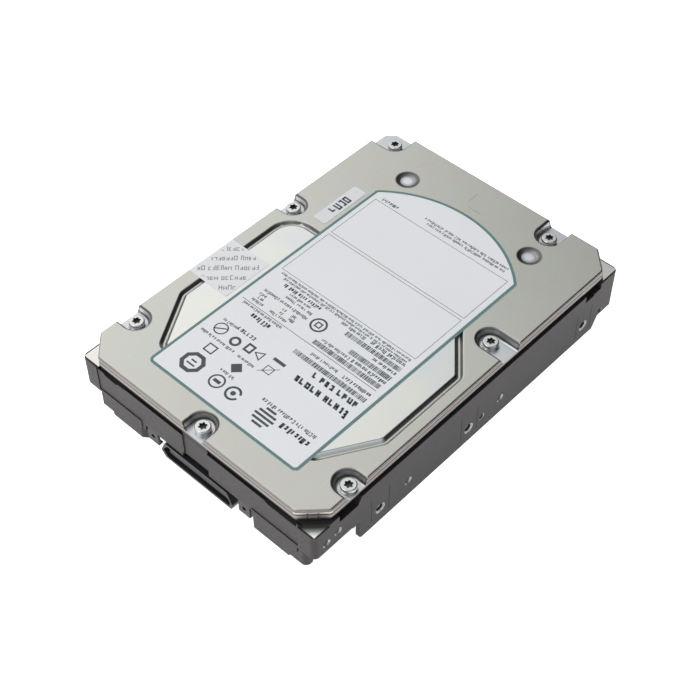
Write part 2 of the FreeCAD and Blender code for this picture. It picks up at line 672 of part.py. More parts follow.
def platter(index):
    z = FIRST_PLATTER + index * PLATTER_PITCH
    disc = ring(*SPINDLE, z, z + PLATTER_T, PLATTER_BORE, PLATTER_R)
    return disc.makeChamfer(0.12, edges_at(disc, lambda b: b.XLength > 2 * PLATTER_R - 1))


def platter_spacers():
    gap = PLATTER_PITCH - PLATTER_T
    starts = [FIRST_PLATTER + PLATTER_T + i * PLATTER_PITCH for i in range(PLATTERS - 1)]
    return group([ring(*SPINDLE, z, z + gap, PLATTER_BORE, CLAMP_R) for z in starts])


def disk_clamp():
    x, y = SPINDLE
    disc = ring(x, y, 20.9, 21.7, 5.0, CLAMP_R)
    lip = ring(x, y, STACK_TOP, 21.0, PLATTER_BORE, CLAMP_R)
    holes = [cyl(*polar(SPINDLE, 8.4, 60 * i), 19, 25, 1.0) for i in range(6)]
    return join([disc, lip]).cut(holes)


def clamp_screws():
    screws = []
    for i in range(6):
        x, y = polar(SPINDLE, 8.4, 60 * i)
        head = cyl(x, y, 21.7, 22.9, 1.75)
        shank = cyl(x, y, 18.5, 21.7, 0.8)
        screws.append(join([head, shank]).cut(hexalobe(x, y, 22.2, 24, 1.0)))
    return group(screws)


# ---------------------------------------------------------------- head actuator
# The actuator is drawn with its arms along +X from the origin, then set at its parked angle.

PIVOT_TO_SPINDLE = math.hypot(SPINDLE[0] - PIVOT[0], SPINDLE[1] - PIVOT[1])
SPINDLE_BEARING = math.degrees(math.atan2(SPINDLE[1] - PIVOT[1], SPINDLE[0] - PIVOT[0]))
PARK_OFFSET = math.degrees(math.acos(
    (PIVOT_TO_SPINDLE ** 2 + HEAD_REACH ** 2 - PARK_RADIUS ** 2) / (2 * PIVOT_TO_SPINDLE * HEAD_REACH)))
PARK_ANGLE = SPINDLE_BEARING - PARK_OFFSET
HEADS = []
for disc in range(PLATTERS):
    under = FIRST_PLATTER + disc * PLATTER_PITCH
    HEADS.append((under, -1))
    HEADS.append((under + PLATTER_T, 1))
ARM_LEVELS = [FIRST_PLATTER - 0.8 - ARM_T]
ARM_LEVELS += [FIRST_PLATTER + PLATTER_T + 0.8 + i * PLATTER_PITCH for i in range(PLATTERS)]


def parked(shape):
    copy = shape.copy()
    copy.rotate(V(0, 0, 0), V(0, 0, 1), PARK_ANGLE)
    copy.translate(V(PIVOT[0], PIVOT[1], 0))
    return copy


def arm_comb():
    """The machined block: a bored hub, one arm for each gap between the discs, and two coil horns."""
    hub = cyl(0, 0, 9.7, 21.8, 7.6)
    pieces = [hub]
    blade = [(-1, -6.4, 0.5), (33.0, -2.9, 2.4), (33.0, 2.9, 2.4), (-1, 6.4, 0.5)]
    for z in ARM_LEVELS:
        pieces.append(plate(blade, z, z + ARM_T))
    for side in (-1, 1):
        horn = [(-4, side * 3.0, 0.3), (-5, side * 7.0, 0.3), (-25.6, side * 12.6, 0.8), (-25.9, side * 10.6, 0.8)]
        pieces.append(plate(horn if side < 0 else horn[::-1], COIL_Z[0] - 0.3, COIL_Z[1] + 0.3))
    bore = cyl(0, 0, 8, 24, PIVOT_SLEEVE_R)
    window = plate([(11, -2.2, 1), (26, -1.3, 1), (26, 1.3, 1), (11, 2.2, 1)], 8, 24)
    coil_room = plate(inset(COIL_OUTLINE, -0.9), 10, COIL_Z[1] + 3)
    return parked(join(pieces).cut([bore, window]).cut(coil_room))


COIL_OUTLINE = [
    (-COIL_IN, 4.3, 2.0), (-COIL_OUT, 9.8, 2.6), (-COIL_OUT, -9.8, 2.6), (-COIL_IN, -4.3, 2.0),
]


def voice_coil():
    outer = plate(COIL_OUTLINE, *COIL_Z)
    return parked(outer.cut(plate(inset(COIL_OUTLINE, 3.0), COIL_Z[0] - 1, COIL_Z[1] + 1)))


def coil_frame():
    """Moulded plastic around the coil that bonds it between the horns."""
    frame = plate(inset(COIL_OUTLINE, -0.9), COIL_Z[0] + 0.3, COIL_Z[1] - 0.3)
    return parked(frame.cut(plate(COIL_OUTLINE, COIL_Z[0] - 1, COIL_Z[1] + 1)))


def pivot_sleeve():
    """The pivot cartridge's outer ring, with a raceway for each ball row."""
    sleeve = ring(*PIVOT, 9.8, 21.8, BALL_PITCH_R + BALL_R - 0.12, PIVOT_SLEEVE_R)
    for z in BALL_ROWS:
        sleeve = sleeve.cut(Part.makeTorus(BALL_PITCH_R, BALL_R + 0.04, V(PIVOT[0], PIVOT[1], z)))
    return sleeve


def pivot_shaft():
    x, y = PIVOT
    shaft = cyl(x, y, FLOOR_TOP + 0.5, 23.4, PIVOT_SHAFT_R + 0.12)
    foot = cyl(x, y, FLOOR_TOP + 0.5, 9.65, 3.6)
    grooves = [Part.makeTorus(BALL_PITCH_R, BALL_R + 0.04, V(x, y, z)) for z in BALL_ROWS]
    return join([shaft, foot]).cut(grooves).cut(cyl(x, y, 19.8, 24, 0.9))


def pivot_screw():
    x, y = PIVOT
    head = cyl(x, y, 23.4, 24.0, 2.2)
    return join([head, cyl(x, y, 20.0, 23.4, 0.9)]).cut(hexalobe(x, y, 23.0, 25, 1.0))


def pivot_balls():
    balls = []
    for z in BALL_ROWS:
        for i in range(10):
            bx, by = polar(PIVOT, BALL_PITCH_R, 36 * i)
            balls.append(Part.makeSphere(BALL_R, V(bx, by, z)))
    return group(balls)


def ball_cages():
    cages = []
    for z, side in zip(BALL_ROWS, (1, -1)):
        low = min(z - 0.5, z + 0.9 * side)
        high = max(z + 0.5, z + 0.9 * side)
        band = ring(*PIVOT, low, high, BALL_PITCH_R - 0.2, BALL_PITCH_R + 0.2)
        seats = []
        for i in range(10):
            bx, by = polar(PIVOT, BALL_PITCH_R, 36 * i)
            seats.append(Part.makeSphere(BALL_R + 0.03, V(bx, by, z)))
        cages.append(max(band.cut(seats).Solids, key=lambda s: s.Volume))
    return group(cages)


def suspensions():
    """Six thin steel load beams, one for each disc surface, swaged to the arms' tips."""
    beams = []
    beam = [(27.0, -2.5, 0.8), (33.5, -2.5, 1.0), (HEAD_REACH + 0.8, -0.6, 0.3), (HEAD_REACH + 0.8, 0.6, 0.3),
            (33.5, 2.5, 1.0), (27.0, 2.5, 0.8)]
    base = [(27.0, -2.4, 0.6), (32.4, -2.4, 0.6), (32.4, 2.4, 0.6), (27.0, 2.4, 0.6)]
    for surface, side in HEADS:
        near = surface + side * (FLY_GAP + SLIDER_T)
        far = near + side * 0.16
        arm = surface + side * 0.8
        sheet = plate(beam, min(near, far), max(near, far))
        swage = plate(base, min(far, arm), max(far, arm))
        slot = plate([(35, -0.5, 0.3), (40, -0.3, 0.2), (40, 0.3, 0.2), (35, 0.5, 0.3)], near - 2, near + 2)
        beams.append(parked(join([sheet, swage]).cut(slot)))
    return group(beams)


def head_sliders():
    sliders = []
    for surface, side in HEADS:
        z0 = surface + side * FLY_GAP
        z1 = surface + side * (FLY_GAP + SLIDER_T)
        body = box(HEAD_REACH - 0.6, HEAD_REACH + 0.6, -0.5, 0.5, min(z0, z1), max(z0, z1))
        sliders.append(parked(body))
    return group(sliders)


def preamp_board():
    """The stiffened end of the flex circuit on the block's side, with its amplifier chip."""
    board = box(-5.0, 5.0, 7.75, 8.05, 10.6, 19.6)
    pad = box(-3.4, 3.4, 7.3, 7.75, 11.4, 18.8)
    return parked(join([board, pad]).cut(cyl(0, 0, 8, 24, 7.62)))


def preamp_chip():
    return parked(box(-2.2, 2.2, 8.05, 8.85, 12.4, 17.2))


# ---------------------------------------------------------------- voice-coil motor, fixed parts

COIL_MIDDLE = PARK_ANGLE + 180 - SWING / 2
POST_ANGLES = (COIL_MIDDLE - 56, COIL_MIDDLE + 56)
STOP_ANGLES = (COIL_MIDDLE - 45.6, COIL_MIDDLE + 45.6)
STOP_REACH = 22.92


def yoke_plate(z0, z1):
    fan = sector(PIVOT, 11.5, 30.5, COIL_MIDDLE - 36, COIL_MIDDLE + 36, z0, z1)
    pieces = [fan]
    for angle in POST_ANGLES:
        x, y = polar(PIVOT, 24, angle)
        pieces.append(cyl(x, y, z0, z1, 3.4))
        inner = COIL_MIDDLE - 34 if angle < COIL_MIDDLE else COIL_MIDDLE + 34
        low, high = min(angle, inner), max(angle, inner)
        pieces.append(sector(PIVOT, 21.5, 26.5, low, high, z0, z1))
    x, y = polar(PIVOT, 32.5, COIL_MIDDLE)
    pieces.append(cyl(x, y, z0, z1, 3.4))
    return join(pieces)


def yoke_post_places():
    return [polar(PIVOT, 24, a) for a in POST_ANGLES] + [polar(PIVOT, 32.5, COIL_MIDDLE)]


def lower_yoke():
    return yoke_plate(FLOOR_TOP, 11.0).cut([cyl(x, y, 8, 12, 1.0) for x, y in yoke_post_places()])


def upper_yoke():
    return yoke_plate(20.4, 22.4).cut([cyl(x, y, 20, 24, 1.0) for x, y in yoke_post_places()])


def coil_magnets():
    """One curved magnet on each yoke, with the coil's gap between them."""
    return group([sector(PIVOT, 13.2, 28.0, COIL_MIDDLE - 32, COIL_MIDDLE + 32, z0, z1)
                  for z0, z1 in ((11.0, 13.4), (18.0, 20.4))])


def yoke_posts():
    return group([ring(x, y, 11.0, 20.4, 1.0, 2.1) for x, y in yoke_post_places()])


def yoke_screws():
    screws = []
    for x, y in yoke_post_places():
        head = cyl(x, y, 22.4, 23.4, 1.8)
        screws.append(join([head, cyl(x, y, 9.2, 22.4, 1.0)]).cut(hexalobe(x, y, 22.8, 25, 1.0)))
    return group(screws)


def crash_stop_places():
    return [polar(PIVOT, STOP_REACH, angle) for angle in STOP_ANGLES]


def crash_stop_pins():
    return group([cyl(x, y, 11.0, 20.4, 0.8) for x, y in crash_stop_places()])


def crash_stop_bumpers():
    return group([ring(x, y, 12.6, 18.8, 0.8, 1.7) for x, y in crash_stop_places()])


# ---------------------------------------------------------------- air path and flex circuit


def airflow_comb():
    """A comb of thin vanes between the discs that steadies the air ahead of the arms."""
    spine = sector(SPINDLE, 36.0, 39.2, 168, 212, FLOOR_TOP, STACK_TOP + 0.8)
    vanes = [spine]
    for i in range(PLATTERS - 1):
        middle = FIRST_PLATTER + PLATTER_T + PLATTER_PITCH * i + (PLATTER_PITCH - PLATTER_T) / 2
        vanes.append(sector(SPINDLE, 17.5, 36.4, 170, 210, middle - 0.55, middle + 0.55))
    return join(vanes)


def recirculation_filter():
    return plate([(-35.0, -19.6, 0.8), (-24.0, -19.6, 0.8), (-24.0, -16.4, 0.8), (-35.0, -16.4, 0.8)],
                 FLOOR_TOP, 18.5)


def breather_filter():
    """A carbon pot over the casting's breather hole, which also holds the desiccant."""
    pot = plate([(-43.4, -63.6, 2), (-33.0, -63.6, 2), (-33.0, -59.8, 2), (-36.0, -52.4, 2), (-41.0, -52.4, 1),
                 (-41.4, -58.9, 1), (-43.4, -60.4, 1)], FLOOR_TOP, 15.0)
    return pot.cut(cyl(-38, -57, 8, 11, 0.9))


def flex_bracket():
    """The bracket that leads the flex circuit to the connector through the casting's floor."""
    foot = plate([(-22, -58.6, 1.5), (-4, -58.6, 1.5), (-4, -46.6, 1.5), (-22, -46.6, 1.5)], FLOOR_TOP, 10.6)
    wall = box(-6.4, -5.0, -57.0, -47.0, 10.6, 19.6)
    return join([foot, wall]).cut(box(-18.6, -7.4, -55.6, -49.6, 8, 12))


def flex_cable():
    """A thin printed loop from the bracket towards the actuator, with slack for its swing."""
    t = 0.25
    z0, z1 = 11.4, 18.6
    points = [(-4.95, -48.0, 0), (-4.95, -38.0, 5.5), (7.2, -31.2, 0)]
    path = rounded_open(points, z0)
    profile = Part.Face(Part.makePolygon([V(-4.95, -48, z0), V(-4.95 + t, -48, z0), V(-4.95 + t, -48, z1),
                                          V(-4.95, -48, z1), V(-4.95, -48, z0)]))
    return path.makePipeShell([profile.OuterWire], True, False)


def rounded_open(points, z):
    (x0, y0, _), (x1, y1, r), (x2, y2, _) = points
    corner = V(x1, y1, z)
    back = V(x0 - x1, y0 - y1, 0).normalize()
    ahead = V(x2 - x1, y2 - y1, 0).normalize()
    half = back.getAngle(ahead) / 2
    start = corner + back * (r / math.tan(half))
    end = corner + ahead * (r / math.tan(half))
    middle = corner + (back + ahead).normalize() * (r / math.sin(half) - r)
    return Part.Wire([
        Part.LineSegment(V(x0, y0, z), start).toShape(),
        Part.Arc(start, middle, end).toShape(),
        Part.LineSegment(end, V(x2, y2, z)).toShape(),
    ])


def bulkhead_connector():
    body = box(-18.6, -7.4, -55.6, -49.6, BOARD_Z[1], 10.2)
    rows = []
    for i in range(9):
        for y in (-54.2, -51.0):
            rows.append(box(-17.9 + i * 1.2, -17.3 + i * 1.2, y - 0.3, y + 0.3, 10.2, 10.5))
    return join([body] + rows)


# ---------------------------------------------------------------- circuit board


def circuit_board():
    y0, y1 = BOARD_Y
    x = BOARD_X
    lip = SHELL_REAR_Y + 1.8
    outline = [(-x, y0, 1), (-24, y0, 0.5), (-23, lip, 0.5), (23, lip, 0.5), (24, y0, 0.5), (x, y0, 1),
               (x, y1, 3), (-x, y1, 3)]
    board = plate(outline, *BOARD_Z)
    holes = [cyl(*SPINDLE, 0, 8, 20.4)]
    holes += [cyl(bx, by, 0, 8, 1.1) for bx, by in BOARD_SCREWS]
    return board.cut(holes)


def board_insulator():
    """A thin foam sheet between the board and the casting's floor."""
    sheet = plate([(-41.6, -64.5, 2), (41.6, -64.5, 2), (41.6, 18.0, 3), (-41.6, 18.0, 3)], BOARD_Z[1], FLOOR_UNDER)
    cuts = [cyl(*SPINDLE, 0, 8, 21.4), box(-19.4, -6.6, -56.4, -48.8, 4, 8)]
    cuts += [cyl(bx, by, 0, 8, 3.2) for bx, by in BOARD_SCREWS]
    cuts += [box(10, 26, -14, 0, 4, 8), box(-40, -30, -8, 8, 4, 8)]
    return sheet.cut(cuts)


def board_screws():
    z = BOARD_Z[0]
    screws = []
    for x, y in BOARD_SCREWS:
        head = cyl(x, y, z - 1.3, z, 2.3)
        head = head.makeFillet(0.35, edges_at(head, lambda b: b.ZMax < z - 1.2))
        shank = cyl(x, y, z, z + 4.2, 0.9)
        screws.append(join([head, shank]).cut(hexalobe(x, y, z - 2, z - 0.6, 1.2)))
    return group(screws)


def chip(x, y, w, d, t):
    z = BOARD_Z[0]
    return box(x - w / 2, x + w / 2, y - d / 2, y + d / 2, z - t, z)


def leads(x, y, w, d, count, t=0.35):
    """Gull-wing leads along the two long sides of a package."""
    z = BOARD_Z[0]
    result = []
    pitch = (w - 1.2) / (count - 1)
    for i in range(count):
        lx = x - (w - 1.2) / 2 + i * pitch
        for side in (-1, 1):
            ly = y + side * (d / 2 + 0.5)
            result.append(box(lx - 0.15, lx + 0.15, ly - 0.5, ly + 0.5, z - t, z))
    return result


def controller_chip():
    return chip(-12, -38, 23, 23, 1.7)


def memory_chips():
    return group([chip(12, -44, 12, 8, 1.1), chip(12, -32, 12, 8, 1.1), chip(32, -50, 8, 6, 1.0)])


def motor_driver():
    return chip(27, -10, 10, 10, 1.2)


def chip_leads():
    z = BOARD_Z[0]
    result = leads(12, -44, 12, 8, 14) + leads(12, -32, 12, 8, 14) + leads(32, -50, 8, 6, 4)
    for i in range(12):
        offset = -4.4 + 0.8 * i
        for side in (-1, 1):
            result.append(box(27 + side * 5.5 - 0.5, 27 + side * 5.5 + 0.5, -10 + offset - 0.15,
                              -10 + offset + 0.15, z - 0.35, z))
    return group(result)


def capacitors():
    """Rows of small ceramic parts round the chips."""
    result = []
    for i in range(9):
        result.append(chip(-24 + 3.0 * i, -22.5, 1.0, 1.8, 0.7))
    for i in range(7):
        result.append(chip(-28.5, -48 + 3.2 * i, 1.8, 1.0, 0.7))
        result.append(chip(36.5, -38 + 3.4 * i, 1.8, 1.0, 0.7))
    for i in range(6):
        result.append(chip(-36 + 2.6 * i, -59.5, 1.2, 2.2, 1.1))
    for i in range(5):
        result.append(chip(21.5, -28 + 2.6 * i, 1.6, 0.9, 0.6))
    return group(result)


def power_parts():
    """Wound inductors and tantalum blocks of the board's supply."""
    return group([chip(-35.5, -40, 6.5, 6.5, 2.6), chip(-35.5, -30, 6.5, 6.5, 2.6), chip(30, -30, 7.0, 4.2, 2.3),
                  chip(30, -23.5, 7.0, 4.2, 2.3), chip(-36, 6, 5.0, 3.2, 1.6), chip(34, 6, 5.0, 3.2, 1.6)])


# ---------------------------------------------------------------- host connector


def d_outline(half, z0, z1, r):
    """A D-shaped section in the XZ plane, widest below its middle."""
    return [(-half + 1.9, z0, r), (half - 0.4, z0, r), (half, z0 + 2.4, r), (half - 2.3, z1, r),
            (-half + 2.1, z1, r), (-half, z0 + 2.4, r)]


def upright(points, y0, y1):
    """A prism along Y from a rounded XZ outline."""
    shape = plate([(x, z, r) for x, z, r in points], 0, y1 - y0)
    shape.rotate(V(0, 0, 0), V(1, 0, 0), 90)
    shape.translate(V(0, y1, 0))
    return shape


def connector_shell():
    mouth_z = (SHELL_Z[0] + 0.9, SHELL_Z[1] - 0.9)
    outer = upright(d_outline(SHELL_HALF_W, *SHELL_Z, 1.0), -HALF_L, SHELL_REAR_Y)
    mouth = upright(d_outline(SHELL_HALF_W - 1.0, *mouth_z, 0.6), -HALF_L - 1, SHELL_REAR_Y + 1)
    base = box(-SHELL_HALF_W - 5.6, SHELL_HALF_W + 5.6, SHELL_REAR_Y - 0.6, SHELL_REAR_Y + 3.8, 2.6, FLOOR_UNDER - 0.2)
    board_slot = box(-30, 30, SHELL_REAR_Y + 1.8, SHELL_REAR_Y + 6, BOARD_Z[0], BOARD_Z[1])
    return join([outer.cut(mouth), base]).cut(board_slot)


def connector_tongue():
    bar = box(-12.8, 13.2, -HALF_L + 0.8, SHELL_REAR_Y - 0.6, 3.6, 5.4)
    slots = []
    for i in range(CONTACTS // 2):
        x = (i - (CONTACTS // 2 - 1) / 2) * CONTACT_PITCH + 0.2
        slots.append(box(x - 0.26, x + 0.26, -HALF_L + 1.2, SHELL_REAR_Y, 3.3, 3.85))
        slots.append(box(x - 0.26, x + 0.26, -HALF_L + 1.2, SHELL_REAR_Y, 5.15, 5.7))
    return bar.cut(slots)


def connector_contacts():
    """Forty gold-plated strips, twenty on each side of the tongue."""
    result = []
    for i in range(CONTACTS // 2):
        x = (i - (CONTACTS // 2 - 1) / 2) * CONTACT_PITCH + 0.2
        result.append(box(x - 0.26, x + 0.26, -HALF_L + 1.2, SHELL_REAR_Y - 0.6, 3.55, 3.85))
        result.append(box(x - 0.26, x + 0.26, -HALF_L + 1.2, SHELL_REAR_Y - 0.6, 5.15, 5.45))
    return group(result)


def connector_ears():
    """Two bent metal ears that hold the connector to the board."""
    ears = []
    front = -HALF_L
    for side in (-1, 1):
        x = side * 20.4
        face = box(x - 2.4, x + 2.4, front + 0.8, front + 1.6, 2.5, 9.0)
        foot = box(x - 1.4, x + 1.4, front + 1.6, front + 4.2, 7.6, 8.4)
        lip = box(x - 2.4, x + 2.4, front + 1.6, front + 2.4, 2.5, 3.3)
        pin = Part.makeCylinder(0.8, 2, V(x, front, 5.4), V(0, 1, 0))
        ears.append(join([face, foot, lip]).cut(pin))
    return group(ears)


# ---------------------------------------------------------------- all the pieces

PARTS = {
    "base_casting": base_casting(),
    "top_cover": top_cover(),
    "cover_gasket": cover_gasket(),
    "cover_screws": cover_screws(),
    "product_label": product_label(),
    "tamper_label": tamper_label(),
    "small_sticker": small_sticker(),
    "motor_bracket": motor_bracket(),
    "motor_screws": motor_screws(),
    "bearing_sleeve": bearing_sleeve(),
    "bearing_end_cap": bearing_end_cap(),
    "stator_core": stator_core(),
    "stator_coils": stator_coils(),
    "spindle_hub": spindle_hub(),
    "spindle_shaft": spindle_shaft(),
    "rotor_magnet": rotor_magnet(),
    "lower_platter": platter(0),
    "middle_platter": platter(1),
    "upper_platter": platter(2),
    "platter_spacers": platter_spacers(),
    "disk_clamp": disk_clamp(),
    "clamp_screws": clamp_screws(),
    "pivot_shaft": pivot_shaft(),
    "pivot_screw": pivot_screw(),
    "pivot_sleeve": pivot_sleeve(),
    "pivot_balls": pivot_balls(),
    "ball_cages": ball_cages(),
    "arm_comb": arm_comb(),
    "suspensions": suspensions(),
    "head_sliders": head_sliders(),
    "voice_coil": voice_coil(),
    "coil_frame": coil_frame(),
    "preamp_board": preamp_board(),
    "preamp_chip": preamp_chip(),
    "lower_yoke": lower_yoke(),
    "upper_yoke": upper_yoke(),
    "coil_magnets": coil_magnets(),
    "yoke_posts": yoke_posts(),
    "yoke_screws": yoke_screws(),
    "crash_stop_pins": crash_stop_pins(),
    "crash_stop_bumpers": crash_stop_bumpers(),
    "airflow_comb": airflow_comb(),
    "recirculation_filter": recirculation_filter(),
    "breather_filter": breather_filter(),
    "flex_bracket": flex_bracket(),
    "flex_cable": flex_cable(),
    "bulkhead_connector": bulkhead_connector(),
    "circuit_board": circuit_board(),
    "board_insulator": board_insulator(),
    "board_screws": board_screws(),
    "controller_chip": controller_chip(),
    "memory_chips": memory_chips(),
    "motor_driver": motor_driver(),
    "chip_leads": chip_leads(),
    "capacitors": capacitors(),
    "power_parts": power_parts(),
    "connector_shell": connector_shell(),
    "connector_tongue": connector_tongue(),
    "connector_contacts": connector_contacts(),
    "connector_ears": connector_ears(),
}

os.makedirs("parts", exist_ok=True)
for name, shape in PARTS.items():
    shape.exportStep("parts/" + name + ".step")
print(len(PARTS), "pieces; parked angle", round(PARK_ANGLE, 3))
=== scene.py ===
import math
import random

import bmesh
import bpy
from mathutils import Matrix, Vector


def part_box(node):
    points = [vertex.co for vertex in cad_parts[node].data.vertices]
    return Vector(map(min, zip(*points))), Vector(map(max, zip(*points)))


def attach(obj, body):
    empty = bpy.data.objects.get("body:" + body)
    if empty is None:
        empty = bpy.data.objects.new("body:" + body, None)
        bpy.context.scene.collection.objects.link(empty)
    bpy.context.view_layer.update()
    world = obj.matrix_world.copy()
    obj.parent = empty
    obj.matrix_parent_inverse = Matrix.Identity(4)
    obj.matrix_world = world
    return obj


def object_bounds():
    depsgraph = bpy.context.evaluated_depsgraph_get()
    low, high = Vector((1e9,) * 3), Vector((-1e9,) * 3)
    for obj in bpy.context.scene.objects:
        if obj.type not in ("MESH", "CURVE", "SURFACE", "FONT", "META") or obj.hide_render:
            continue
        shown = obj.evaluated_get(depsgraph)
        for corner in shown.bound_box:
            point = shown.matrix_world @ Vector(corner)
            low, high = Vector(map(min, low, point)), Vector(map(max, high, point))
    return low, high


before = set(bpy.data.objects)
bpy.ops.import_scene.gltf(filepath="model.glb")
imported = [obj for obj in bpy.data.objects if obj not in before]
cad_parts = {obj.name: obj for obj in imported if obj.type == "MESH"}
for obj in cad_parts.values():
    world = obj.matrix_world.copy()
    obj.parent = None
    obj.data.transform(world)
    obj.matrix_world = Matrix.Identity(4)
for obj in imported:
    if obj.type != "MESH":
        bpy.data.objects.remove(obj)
CAD_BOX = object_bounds()

# The shapes come from the CAD model. This script gives them their finishes, adds the print, the threads and
# the board's tracks, and sets up the floor, the light and the camera.
# Its lengths are millimetres in the CAD model's own frame, and MM turns them into metres.
MM = 0.001
UNDER, TOP = (Vector(corner) / MM for corner in CAD_BOX)
LABEL_LOW, LABEL_HIGH = (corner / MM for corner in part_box("product_label"))
STICKER_LOW, STICKER_HIGH = (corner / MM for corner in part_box("small_sticker"))
TAMPER_LOW, TAMPER_HIGH = (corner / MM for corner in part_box("tamper_label"))
COVER_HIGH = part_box("top_cover")[1] / MM
BOARD_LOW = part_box("circuit_board")[0] / MM

INK = 0.02              # how far print stands above the sheet it is on
SUNK = 0.002            # how far print reaches into the sheet, so that no gap shows

# The casting. SIDE_HOLES and TOOL_MARKS are (y, z) on both sides.
HALF_WIDTH, HALF_LENGTH = 50.8, 73.5
WALL_TOP = 20.8         # its machined corners, and the lower one nearest the camera
NEAR_CORNER_TOP = 19.8
CORNER_REACH = 115.9    # |x| + |y| where the bare metal of the corners begins
NEAR_CORNER_REACH = 117.4
END_LEDGE_TOP = 19.75   # the ledge under the cover at the connector end
SIDE_HOLES = [(-45.0, 6.35), (-3.39, 6.35), (56.6, 6.35)]
TOOL_MARKS = [(-32.3, 7.4), (3.1, 6.35), (12.2, 7.5), (66.1, 6.4), (-63.55, 13.8), (-68.4, 12.8)]
BOTTOM_HOLES = [(side * 47.625, y) for side in (-1, 1) for y in (-32.22, 12.23, 43.98)]
SPINDLE = (0.0, 18.0)

# The cover: the bead's outline, the dimples' middles, and the screws with the heights of their sockets.
EDGE_X, EDGE_NEAR_Y, EDGE_FAR_Y = 49.5, -72.45, 71.6
CHAMFER_REACH = 115.0   # |x| + |y| at the chamfered corners
BEAD_WIDTH = 2.6        # the groove pressed into the cover round the middle of it
DIMPLE_REACH = 4.4
SCOOP_FOOT = 22.8       # just over the cover's lower edge
BEAD_CORNERS = [(-44.6, -36.5), (-32.4, -57.2), (33.9, -57.2), (46.05, -37.1), (46.05, -2.1), (30.4, 16.6),
                (-38.86, 14.9), (-44.6, 9.16)]
DIMPLES = [(-26.4, 54.4), (27.9, 53.6)]
SCREW_FLOOR, SCREW_TOP = 23.85, 25.05
COVER_SCREWS = [(-46.2, -54.0), (-46.6, 18.0), (-43.0, 66.5), (27.0, 66.0), (42.1, 16.2), (47.0, -55.0),
                (0.5, -69.0)]


# ---------------------------------------------------------------- materials


